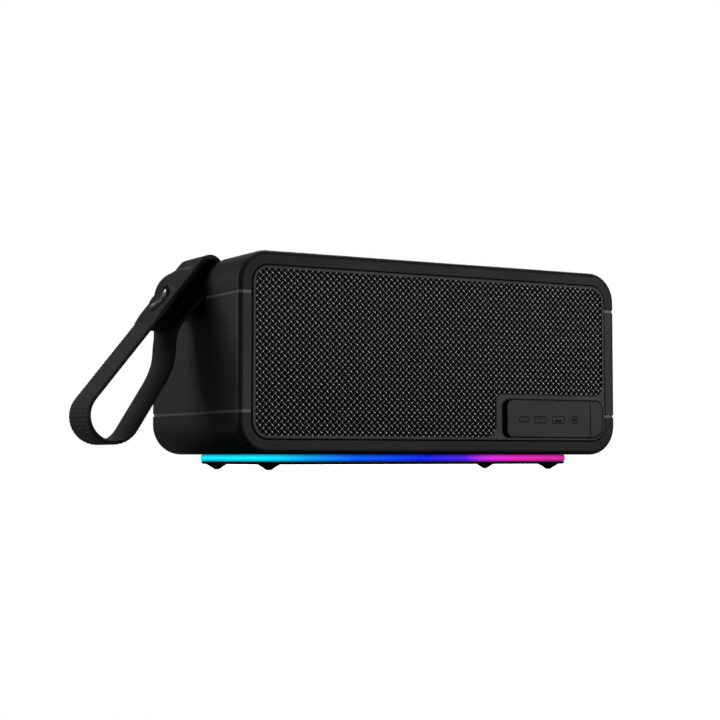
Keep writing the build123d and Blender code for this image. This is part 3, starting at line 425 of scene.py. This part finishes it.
def wire_faces(first_point, rows):
    """Faces of one wire: a closed tube with a cap at each end."""
    row = np.arange(rows - 1)[:, None] * WIRE_SIDES
    here = np.arange(WIRE_SIDES)
    beside = (here + 1) % WIRE_SIDES
    a, b = first_point + row + here, first_point + row + beside
    faces = np.stack([a, b, b + WIRE_SIDES, a + WIRE_SIDES], -1).reshape(-1, 4).tolist()
    last_point = first_point + rows * WIRE_SIDES
    faces.append(list(range(first_point, first_point + WIRE_SIDES))[::-1])
    faces.append(list(range(last_point - WIRE_SIDES, last_point)))
    return faces


def woven_grille():
    """Plain weave at 45 degrees: narrow crowned wires one way, flatter and wider wires the other."""
    low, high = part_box("grille_mesh")
    outline = edge_loops("grille_mesh", low.y)[0]
    centre = np.array([(low.x + high.x) / 2, (low.z + high.z) / 2])
    reach = (high.x - low.x + high.z - low.z) / 2 / math.sqrt(2)
    wires = math.ceil(reach / WIRE_PITCH)
    stations = np.arange(-wires * WIRE_STEPS, wires * WIRE_STEPS + 1) * WIRE_PITCH / WIRE_STEPS
    turn = np.linspace(0, 2 * math.pi, WIRE_SIDES, endpoint=False)
    points, faces, total = [], [], 0
    for along, across, half_w, half_t, height, sign in WEAVE:
        along, across = np.array(along) / math.sqrt(2), np.array(across) / math.sqrt(2)
        side = np.array([across[0], 0, across[1]])
        for index in range(-wires, wires + 1):
            line = centre + index * WIRE_PITCH * across + stations[:, None] * along
            swing = sign * (-1) ** index * height
            middle, up = wire_path(line, stations, low.y + WEAVE_BACK, swing, along)
            for first, last in wire_runs(line, outline):
                spread = half_w * np.cos(turn)[None, :, None] * side
                lift = half_t * np.sin(turn)[None, :, None] * up[first:last, None, :]
                points.append((middle[first:last, None, :] + spread + lift).reshape(-1, 3))
                faces += wire_faces(total, last - first)
                total += (last - first) * WIRE_SIDES
    grille = add_mesh("woven_grille", np.vstack(points), faces, "mesh", "body")
    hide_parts("grille_mesh")


woven_grille()


# ---- Strap --------------------------------------------------------------------------------------
STEP = 0.4 * MM
HALF_T = 0.78 * MM
RIB_PITCH, RIB_RISE = 2.0 * MM, 0.42 * MM
YARN_PITCH, YARN_RISE = 1.9 * MM, 0.10 * MM
SELVEDGE, EDGE_R, EDGE_THINNING = 1.5 * MM, 0.8 * MM, 0.65
COLUMNS_ACROSS = 121
# Every second yarn line lies lower by this share of a rib, and the inner face is flatter by these shares.
STAGGER, INNER_RIBS, INNER_YARNS = 0.18, 0.06, 0.4
# Below 1, this power makes the ribs' rounded tops broader.
CROWN = 0.8
SMOOTHING_PASSES = 8


def strap_line(step):
    """The strap's centre line: evenly spaced points and outward normals, in X and Z."""
    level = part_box("strap_webbing")[0].y
    outer, inner = edge_loops("strap_webbing", level)[:2]
    fine = resample(outer, step)
    dense = resample(inner, step / 4)
    nearest = np.array([dense[np.argmin(((dense - p) ** 2).sum(1))] for p in fine])
    middle = (fine + nearest) / 2
    for _ in range(SMOOTHING_PASSES):
        middle = (np.roll(middle, 1, 0) + 2 * middle + np.roll(middle, -1, 0)) / 4
    middle = resample(middle, step)
    tangent = np.roll(middle, -1, 0) - np.roll(middle, 1, 0)
    tangent /= np.linalg.norm(tangent, axis=1)[:, None]
    area = np.sum(middle[:, 0] * np.roll(middle[:, 1], -1) - np.roll(middle[:, 0], -1) * middle[:, 1])
    turn = 1 if area > 0 else -1
    normal = np.column_stack([tangent[:, 1], -tangent[:, 0]]) * turn
    return middle, normal


LINE, NORMAL = strap_line(STEP)


def strap_surface(places, normals, width, lift):
    """Points off the centre line: one row for each place, one column for each place across the strap."""
    points = np.empty((*lift.shape, 3))
    points[:, :, 0] = places[:, 0, None] + normals[:, 0, None] * lift
    points[:, :, 1] = width
    points[:, :, 2] = places[:, 1, None] + normals[:, 1, None] * lift
    return points.reshape(-1, 3)


def ring_quads(rows, columns, closed):
    """Faces of a tube with that many points round each row. A closed tube joins its last row to its first."""
    row = np.arange(rows if closed else rows - 1)[:, None]
    here, ahead = row * columns, (row + 1) % rows * columns
    column = np.arange(columns)
    beside = (column + 1) % columns
    corners = [here + column, ahead + column, ahead + beside, here + beside]
    return np.stack(corners, -1).reshape(-1, 4).tolist()


def smooth_step(value, start, end):
    """0 at the start and 1 at the end, level beyond both, with a soft slope between."""
    share = np.clip((value - start) / (end - start), 0, 1)
    return share * share * (3 - 2 * share)


def webbing():
    """Ribbed webbing: ribs across the outer face, yarn lines along it, plain selvedges."""
    low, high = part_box("strap_webbing")
    half_w = (high.y - low.y) / 2
    count = len(LINE)
    ribs = round(count * STEP / RIB_PITCH)
    rib = np.abs(np.cos(math.pi * np.arange(count) / count * ribs)) ** CROWN
    width = np.linspace(-half_w, half_w, COLUMNS_ACROSS)
    inward = np.clip((half_w - np.abs(width)) / SELVEDGE, 0, 1)
    columns = np.abs(np.cos(math.pi * width / YARN_PITCH)) ** CROWN
    past_edge = np.clip(np.abs(width) - (half_w - EDGE_R), 0, EDGE_R) / EDGE_R
    skin = HALF_T * (1 - EDGE_THINNING + EDGE_THINNING * np.sqrt(1 - past_edge**2))
    stagger = (np.floor(width / YARN_PITCH + 0.5) % 2) * STAGGER
    ribbed = RIB_RISE * np.clip(rib[:, None] - stagger, 0, 1) + YARN_RISE * columns
    plain = INNER_RIBS * RIB_RISE * rib[:, None] + INNER_YARNS * YARN_RISE * columns
    outer = skin + inward * ribbed
    inner = -skin - inward * plain
    lift = np.concatenate([outer, inner[:, ::-1]], axis=1)
    across = np.concatenate([width, width[::-1]])
    points = strap_surface(LINE, NORMAL, across, lift)
    belt = add_mesh("webbing_loop", points, ring_quads(count, len(across), True), "webbing", "strap")
    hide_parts("strap_webbing")


webbing()

# The end piece, in distances up the strap from its lower end and off the strap's centre line.
HEAD_STEP = 0.25 * MM
HEAD_HALF_W, HEAD_EDGE_R = 14.4 * MM, 0.9 * MM
HEAD_MIDDLE, HEAD_HALF_T = 0.45 * MM, 1.45 * MM
LOWER_TAPER, LOWER_EDGE_R = 6.0 * MM, 0.5 * MM
BOSS_LOW, BOSS_HIGH, BOSS_RISE = 18.3 * MM, 37.3 * MM, 2.8 * MM
BOSS_LOW_SLOPE, BOSS_HIGH_SLOPE = 4.2 * MM, 6.0 * MM
BOSS_HALF_W, BOSS_TOP_W = 14.2 * MM, 4.0 * MM
# Shares of the full thickness: at the very ends, and of the lower end's rise that its rounded edge makes.
END_SHARE, LOWER_EDGE_SHARE = 0.4, 0.25
STUD_UP, HOLE_R, HOLE_FLOOR = 14.3 * MM, 7.5 * MM, 1.15 * MM


def head_stations():
    """Evenly spaced points and normals under the end piece, from its lower end up and over the fold."""
    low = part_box("strap_head")[0]
    outline = edge_loops("strap_head", low.y)[0]
    held = inside(LINE + NORMAL * HEAD_HALF_T, outline)
    start = np.flatnonzero(held & ~np.roll(held, 1))[0]
    run = (start + np.arange(held.sum())) % len(LINE)
    if LINE[run[0], 1] > LINE[run[-1], 1]:
        run = run[::-1]
    coarse = np.arange(len(run)) * STEP
    fine = np.arange(0, coarse[-1], HEAD_STEP)
    places, normals = [
        np.column_stack([np.interp(fine, coarse, rows[run, k]) for k in (0, 1)]) for rows in (LINE, NORMAL)
    ]
    return fine, places, normals


HEAD_UP, HEAD_PLACES, HEAD_NORMALS = head_stations()


def quarter_round(distance, radius):
    """0 at an edge, rising as a quarter circle to 1 at that radius from it."""
    return np.sqrt(1 - np.clip(1 - distance / radius, 0, 1) ** 2)


def head_section():
    """Places across the end piece, close together at its rounded edges, and its half thickness at each."""
    flat = HEAD_HALF_W - HEAD_EDGE_R
    corner = np.radians(np.arange(15, 91, 15))
    core = np.arange(-flat, flat + HEAD_STEP / 2, HEAD_STEP)
    edge = flat + HEAD_EDGE_R * np.sin(corner)
    drop = HEAD_EDGE_R * (1 - np.cos(corner))
    width = np.concatenate([-edge[::-1], core, edge])
    return width, HEAD_HALF_T - np.concatenate([drop[::-1], np.zeros(len(core)), drop])


def head_outer(width, profile):
    """Height of the outer face off the centre line, with the boss and the stud's opening."""
    up = HEAD_UP[:, None]
    boss = smooth_step(up, BOSS_LOW, BOSS_LOW + BOSS_LOW_SLOPE)
    boss = boss * smooth_step(up, BOSS_HIGH, BOSS_HIGH - BOSS_HIGH_SLOPE)
    boss = boss * smooth_step(np.abs(width), BOSS_HALF_W, BOSS_TOP_W)
    outer = HEAD_MIDDLE + profile + BOSS_RISE * boss
    from_stud = np.hypot(up - STUD_UP, width)
    wall = smooth_step(from_stud, HOLE_R - 0.2 * MM, HOLE_R + 0.3 * MM)
    return HOLE_FLOOR + (outer - HOLE_FLOOR) * wall


def strap_end_piece():
    """Smooth moulded sleeve over the fold, with a boss and the press stud's opening."""
    width, profile = head_section()
    outer = head_outer(width, profile)
    inner = np.broadcast_to(HEAD_MIDDLE - profile, outer.shape)
    lift = np.concatenate([outer, inner[:, ::-1]], axis=1)
    upper_edge = quarter_round(HEAD_UP[-1] - HEAD_UP, HEAD_EDGE_R)
    lower_edge = LOWER_EDGE_SHARE * quarter_round(HEAD_UP, LOWER_EDGE_R)
    lower_edge = lower_edge + (1 - LOWER_EDGE_SHARE) * smooth_step(HEAD_UP, 0, LOWER_TAPER)
    thickness = END_SHARE + (1 - END_SHARE) * upper_edge * lower_edge
    lift = HEAD_MIDDLE + (lift - HEAD_MIDDLE) * thickness[:, None]
    points = strap_surface(HEAD_PLACES, HEAD_NORMALS, np.concatenate([width, width[::-1]]), lift)
    rows, columns = lift.shape
    faces = ring_quads(rows, columns, False)
    faces.append(list(range(columns)))
    faces.append(list(range((rows - 1) * columns, rows * columns))[::-1])
    head = add_mesh("strap_end_piece", points, faces, "strap_head", "strap")
    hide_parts("strap_head")


def lathe(name, profile, origin, axis, slot, body):
    """Turns a profile of (radius, height) pairs in mm, from the middle of the top down, about an axis."""
    axis = Vector(axis).normalized()
    beside = axis.orthogonal().normalized()
    third = axis.cross(beside)
    points, faces = [], []
    for radius, height in profile:
        for k in range(LATHE_SIDES):
            angle = 2 * math.pi * k / LATHE_SIDES
            spoke = beside * math.cos(angle) + third * math.sin(angle)
            points.append(Vector(origin) + axis * height * MM + spoke * radius * MM)
    for ring in range(len(profile) - 1):
        for k in range(LATHE_SIDES):
            a, b = ring * LATHE_SIDES + k, ring * LATHE_SIDES + (k + 1) % LATHE_SIDES
            faces.append((a, a + LATHE_SIDES, b + LATHE_SIDES, b))
    return add_mesh(name, points, faces, slot, body)


# The press stud's three pieces: radius and height off the strap's centre line, in mm.
KNOB = ((0.01, 4.3), (2.5, 4.33), (4.3, 4.45), (4.9, 4.56), (5.2, 4.58), (5.5, 4.48), (5.75, 4.28))
RIM = ((5.75, 4.28), (5.95, 4.05), (6.12, 3.75), (6.24, 3.4), (6.3, 3.0), (6.3, 2.2), (6.2, 1.2))
SEAT = ((6.2, 1.22), (7.0, 1.24), (7.45, 1.3), (7.5, 1.1))


def press_stud():
    """Knob with a dished satin top and a plated rim, in a black seat."""
    at = np.argmin(np.abs(HEAD_UP - STUD_UP))
    origin = (HEAD_PLACES[at, 0], 0, HEAD_PLACES[at, 1])
    axis = (HEAD_NORMALS[at, 0], 0, HEAD_NORMALS[at, 1])
    cap = lathe("press_stud_cap", KNOB, origin, axis, "stud", "strap")
    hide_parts("press_stud")
    lathe("press_stud_rim", RIM, origin, axis, "connector", "strap")
    lathe("press_stud_seat", SEAT, origin, axis, "core", "strap")


strap_end_piece()
press_stud()


# ---- Light ring ---------------------------------------------------------------------------------
RING_CORNER_R, RING_WALL, RING_EDGE_R = 8.0 * MM, 2.0 * MM, 1.1 * MM


def light_ring():
    """Frosted ring with rounded outer edges, swept round the base."""
    low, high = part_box("light_guide")
    path, outward = [], []
    for sx, sy, start in CORNERS:
        x = (high.x if sx > 0 else low.x) - sx * RING_CORNER_R
        y = (high.y if sy > 0 else low.y) - sy * RING_CORNER_R
        for angle in np.radians(np.linspace(start, start + 90, 13)):
            outward.append((math.cos(angle), math.sin(angle)))
            path.append((x + RING_CORNER_R * math.cos(angle), y + RING_CORNER_R * math.sin(angle)))
    turn = np.radians(np.arange(0, 91, 15))
    inset = RING_EDGE_R * (1 - np.cos(turn))
    rise = RING_EDGE_R * np.sin(turn)
    upper, lower = high.z - RING_EDGE_R + rise[::-1], low.z + RING_EDGE_R - rise
    depth = np.concatenate([[RING_WALL], inset[::-1], inset, [RING_WALL]])
    level = np.concatenate([[high.z], upper, lower, [low.z]])
    section = list(zip(depth, level))
    points = [(x - nx * d, y - ny * d, z) for (x, y), (nx, ny) in zip(path, outward) for d, z in section]
    ring = add_mesh("light_ring", points, ring_quads(len(path), len(depth), True), "light_guide", "body")
    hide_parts("light_guide")


light_ring()


# ---- Feet ---------------------------------------------------------------------------------------
FOOT_R = 5.4
# Radius and height above the ground, in mm.
FOOT_SIDE = ((FOOT_R, 2.8), (5.35, 2.62), (5.15, 2.45), (4.3, 2.0), (3.0, 1.2), (2.0, 0.55), (1.5, 0.24))
FOOT_TIP = ((1.1, 0.07), (0.7, 0.01), (0.01, 0.0))


def rubber_feet():
    """Shallow moulded cones with rounded tips."""
    low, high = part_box("feet")
    inset = FOOT_R * MM
    for side, x in (("left", low.x + inset), ("right", high.x - inset)):
        for end, y in (("front", low.y + inset), ("rear", high.y - inset)):
            foot = lathe(f"foot_{end}_{side}", FOOT_SIDE + FOOT_TIP, (x, y, 0), (0, 0, 1), "rubber", "body")
            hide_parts("feet")


rubber_feet()


# ---- Marks --------------------------------------------------------------------------------------
# Marks are drawn in millimetres: in X and Z on the port cover, and round the middle of the key on a key.
PORT_LINE, KEY_LINE = 0.42, 0.7
MARKS_Z = 26.6
USB_C_X, CARD_X, USB_A_X, AUX_X = 53.0, 63.6, 75.6, 86.4
KEY_INK, PORT_INK = 0.02 * MM, 0.03 * MM
RAY_START, RAY_END = 1.9, 2.7


def arc(x, y, radius, start, end, count=24):
    """Points along an arc, with its start and end in degrees."""
    angles = np.radians(np.linspace(start, end, count))
    return [(x + radius * math.cos(a), y + radius * math.sin(a)) for a in angles]


def stroke(path, width, closed=False):
    """Corners and faces of a line of even width along a path."""
    path = np.array(path, float)
    ahead = np.roll(path, -1, 0) - path
    ahead /= np.linalg.norm(ahead, axis=1)[:, None]
    if not closed:
        ahead[-1] = ahead[-2]
    before = np.roll(ahead, 1, 0)
    if not closed:
        before[0] = ahead[0]
    normals = [np.column_stack([-d[:, 1], d[:, 0]]) for d in (before, ahead)]
    middle = normals[0] + normals[1]
    middle /= np.linalg.norm(middle, axis=1)[:, None]
    reach = width / 2 / np.maximum(0.4, (middle * normals[0]).sum(1))
    points = np.vstack([path + middle * reach[:, None], path - middle * reach[:, None]])
    count = len(path)
    ends = range(count if closed else count - 1)
    return points, [(i, (i + 1) % count, (i + 1) % count + count, i + count) for i in ends]


def marks(name, strokes, place, slot, body):
    """Printed marks, from strokes of (path, width, closed) that place(u, v) puts on the object."""
    points, faces = [], []
    for path, width, closed in strokes:
        corners, quads = stroke(path, width, closed)
        faces += [tuple(i + len(points) for i in quad) for quad in quads]
        points += [place(u * MM, v * MM) for u, v in corners]
    add_mesh(name, points, faces, slot, body, smooth=False)


def rounded_box(x, y, width, height, radius):
    """Points round a rectangle with rounded corners, from its centre and size."""
    path = []
    for sx, sy, start in CORNERS:
        corner = (x + sx * (width / 2 - radius), y + sy * (height / 2 - radius))
        path += arc(*corner, radius, start, start + 90, 6)
    return path


def port_marks():
    """A plain outline of each socket's mouth, printed on the port cover."""
    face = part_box("port_flap")[0].y - PORT_INK
    card_slit = [(CARD_X - 2.2, MARKS_Z + 0.5), (CARD_X + 2.2, MARKS_Z + 0.5)]
    usb_tongue = [(USB_A_X - 2.2, MARKS_Z - 0.6), (USB_A_X + 2.2, MARKS_Z - 0.6)]
    strokes = [
        (rounded_box(USB_C_X, MARKS_Z, 6.4, 2.6, 1.28), PORT_LINE, True),
        (rounded_box(CARD_X, MARKS_Z, 7.4, 3.4, 0.4), PORT_LINE, True),
        (card_slit, PORT_LINE, False),
        (rounded_box(USB_A_X, MARKS_Z, 8.0, 3.8, 0.4), PORT_LINE, True),
        (usb_tongue, 0.9, False),
        (rounded_box(AUX_X, MARKS_Z, 3.8, 3.8, 1.88), PORT_LINE, True),
        (rounded_box(AUX_X, MARKS_Z, 1.0, 1.0, 0.48), 0.6, True),
    ]
    marks("port_marks", strokes, lambda u, v: (u, face, v), "core", "flap")


def key_signs():
    """Strokes of each key's sign: power, mode, minus, play, plus and light."""
    minus, upright = [(-2, 0), (2, 0)], [(0, -2), (0, 2)]
    dots = [arc(x, 0, 0.3, 0, 330, 12) for x in (-1.8, 0, 1.8)]
    spokes = [(math.cos(a), math.sin(a)) for a in np.radians(np.arange(0, 360, 45))]
    rays = [[(RAY_START * x, RAY_START * y), (RAY_END * x, RAY_END * y)] for x, y in spokes]
    return {
        "power": [(arc(0, 0, 2.1, 125, 415), KEY_LINE, False), ([(0, 0.6), (0, 2.9)], KEY_LINE, False)],
        "mode": [(dot, 0.6, True) for dot in dots],
        "volume_down": [(minus, KEY_LINE, False)],
        "play": [([(-1.3, -2.0), (2.2, 0), (-1.3, 2.0)], KEY_LINE, True)],
        "volume_up": [(minus, KEY_LINE, False), (upright, KEY_LINE, False)],
        "light": [(arc(0, 0, 1.1, 0, 345), KEY_LINE, True), *[(ray, KEY_LINE, False) for ray in rays]],
    }


def key_marks():
    """A plain sign on each top key."""
    for key, strokes in key_signs().items():
        low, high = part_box(key + "_button")
        x, level = (low.x + high.x) / 2, high.z + KEY_INK
        marks(key + "_sign", strokes, lambda u, v: (x + u, v, level), "trim", key + "_key")


port_marks()
key_marks()


# ---- Floor, light and camera --------------------------------------------------------------------
# Soft boxes: position, the point each one faces, width and height, and power in watts.
SOFT_BOXES = (
    ("side_softbox", (-0.95, 0.55, 0.25), (-0.1, 0, 0.06), (0.7, 0.9), 2.9),
    ("front_softbox", (0.70, -1.14, 0.12), (0.0, -0.05, 0.05), (0.8, 0.34), 3.6),
    ("top_softbox", (0.0, 0.35, 1.25), (0, 0.1, 0.05), (0.9, 0.7), 4.0),
    ("rear_softbox", (0.9, 1.0, 0.9), (0.1, 0.2, 0.02), (0.9, 0.7), 20.0),
)
# Cards on the floor that face up: centre in X and Y, width, depth and radiance.
FLOOR_CARDS = (
    ("rear_card", 0.50, 0.52, 1.10, 0.80, 0.32),
    ("right_card", 0.52, 0.00, 0.70, 0.24, 0.18),
    ("left_card", -0.62, -0.10, 0.60, 0.40, 0.22),
    ("front_card", -0.05, -0.48, 0.90, 0.60, 0.16),
)
CARD_Z = 0.003
FLOOR_HALF = 6.0
CAMERA_AT = (-0.4439, -0.7480, 0.0069)
CAMERA_TILT, CAMERA_TURN = 93.47, -29.77
LENS, SENSOR = 79.5, 36.0


def area_light(name, position, target, size, power):
    data = bpy.data.lights.new(name, "AREA")
    data.shape = "RECTANGLE"
    data.size, data.size_y = size
    data.energy = power
    light = bpy.data.objects.new(name, data)
    bpy.context.scene.collection.objects.link(light)
    light.location = position
    light.rotation_mode = "QUATERNION"
    light.rotation_quaternion = (Vector(target) - Vector(position)).to_track_quat("-Z", "Y")
    light.visible_camera = False


def backdrop():
    """A world that is white to the camera and dim to the object, a little brighter overhead."""
    world = bpy.data.worlds.new("studio")
    bpy.context.scene.world = world
    world.use_nodes = True
    nodes, links = world.node_tree.nodes, world.node_tree.links
    nodes.clear()
    output = nodes.new("ShaderNodeOutputWorld")
    mix = nodes.new("ShaderNodeMixShader")
    to_object, to_camera = [nodes.new("ShaderNodeBackground") for _ in range(2)]
    for background in (to_object, to_camera):
        background.inputs["Color"].default_value = (1, 1, 1, 1)
    to_camera.inputs["Strength"].default_value = 1.0
    overhead = nodes.new("ShaderNodeMapRange")
    for name, value in (("From Min", 0.4), ("From Max", 0.7), ("To Min", 0.06), ("To Max", 0.18)):
        overhead.inputs[name].default_value = value
    direction = nodes.new("ShaderNodeSeparateXYZ")
    links.new(nodes.new("ShaderNodeTexCoord").outputs["Generated"], direction.inputs[0])
    links.new(direction.outputs["Z"], overhead.inputs["Value"])
    links.new(overhead.outputs["Result"], to_object.inputs["Strength"])
    links.new(nodes.new("ShaderNodeLightPath").outputs["Is Camera Ray"], mix.inputs[0])
    links.new(to_object.outputs[0], mix.inputs[1])
    links.new(to_camera.outputs[0], mix.inputs[2])
    links.new(mix.outputs[0], output.inputs["Surface"])


def studio_lights():
    """Soft boxes round the object, and cards on the floor whose power follows from their size."""
    for name, position, target, size, power in SOFT_BOXES:
        area_light(name, position, target, size, power)
    for name, x, y, width, depth, radiance in FLOOR_CARDS:
        power = radiance * math.pi * width * depth
        area_light(name, (x, y, CARD_Z), (x, y, 1), (width, depth), power)


def floor_material():
    """Pale, fading to white towards the horizon. It throws little light back and is clear from below."""
    s = Shader("pale_floor")
    s.set(Base_Color=s.ramp(s.noise(3), (0.80, 0.80, 0.80), (0.84, 0.84, 0.84), 0.3, 0.7), Roughness=0.9)
    geometry = s.node("ShaderNodeNewGeometry")
    facing = s.node("ShaderNodeVectorMath", operation="DOT_PRODUCT")
    s.link(geometry.outputs["Incoming"], facing.inputs[0])
    s.link(geometry.outputs["Normal"], facing.inputs[1])
    glow = s.node("ShaderNodeEmission")
    s.link(s.ramp(facing.outputs["Value"], 1.05, 0.5, 0.02, 0.2), glow.inputs["Strength"])
    seen = s.node("ShaderNodeAddShader")
    s.link(s.principled.outputs[0], seen.inputs[0])
    s.link(glow.outputs[0], seen.inputs[1])
    dark = s.node("ShaderNodeBsdfDiffuse")
    dark.inputs["Color"].default_value = (0.12, 0.12, 0.12, 1)
    from_above = s.node("ShaderNodeMixShader")
    s.link(s.node("ShaderNodeLightPath").outputs["Is Camera Ray"], from_above.inputs[0])
    s.link(dark.outputs[0], from_above.inputs[1])
    s.link(seen.outputs[0], from_above.inputs[2])
    surface = s.node("ShaderNodeMixShader")
    s.link(geometry.outputs["Backfacing"], surface.inputs[0])
    s.link(from_above.outputs[0], surface.inputs[1])
    s.link(s.node("ShaderNodeBsdfTransparent").outputs[0], surface.inputs[2])
    s.link(surface.outputs[0], s.tree.nodes["Material Output"].inputs["Surface"])
    return s.material


def floor():
    """One large square that the object stands on."""
    mesh = bpy.data.meshes.new("studio_floor")
    corners = [(sx * FLOOR_HALF, sy * FLOOR_HALF, 0) for sx, sy, _ in CORNERS]
    mesh.from_pydata(corners, [], [(0, 1, 2, 3)])
    mesh.materials.append(floor_material())
    plane = bpy.data.objects.new("studio_floor", mesh)
    bpy.context.scene.collection.objects.link(plane)


def camera():
    """From the left of the front, low down and looking slightly up."""
    data = bpy.data.cameras.new("camera")
    data.lens, data.sensor_width = LENS, SENSOR
    data.clip_start, data.clip_end = 0.01, 50
    cam = bpy.data.objects.new("camera", data)
    bpy.context.scene.collection.objects.link(cam)
    cam.location = CAMERA_AT
    cam.rotation_euler = (math.radians(CAMERA_TILT), 0, math.radians(CAMERA_TURN))
    bpy.context.scene.camera = cam


backdrop()
studio_lights()
floor()
camera()
bpy.context.scene.view_settings.view_transform = "Standard"
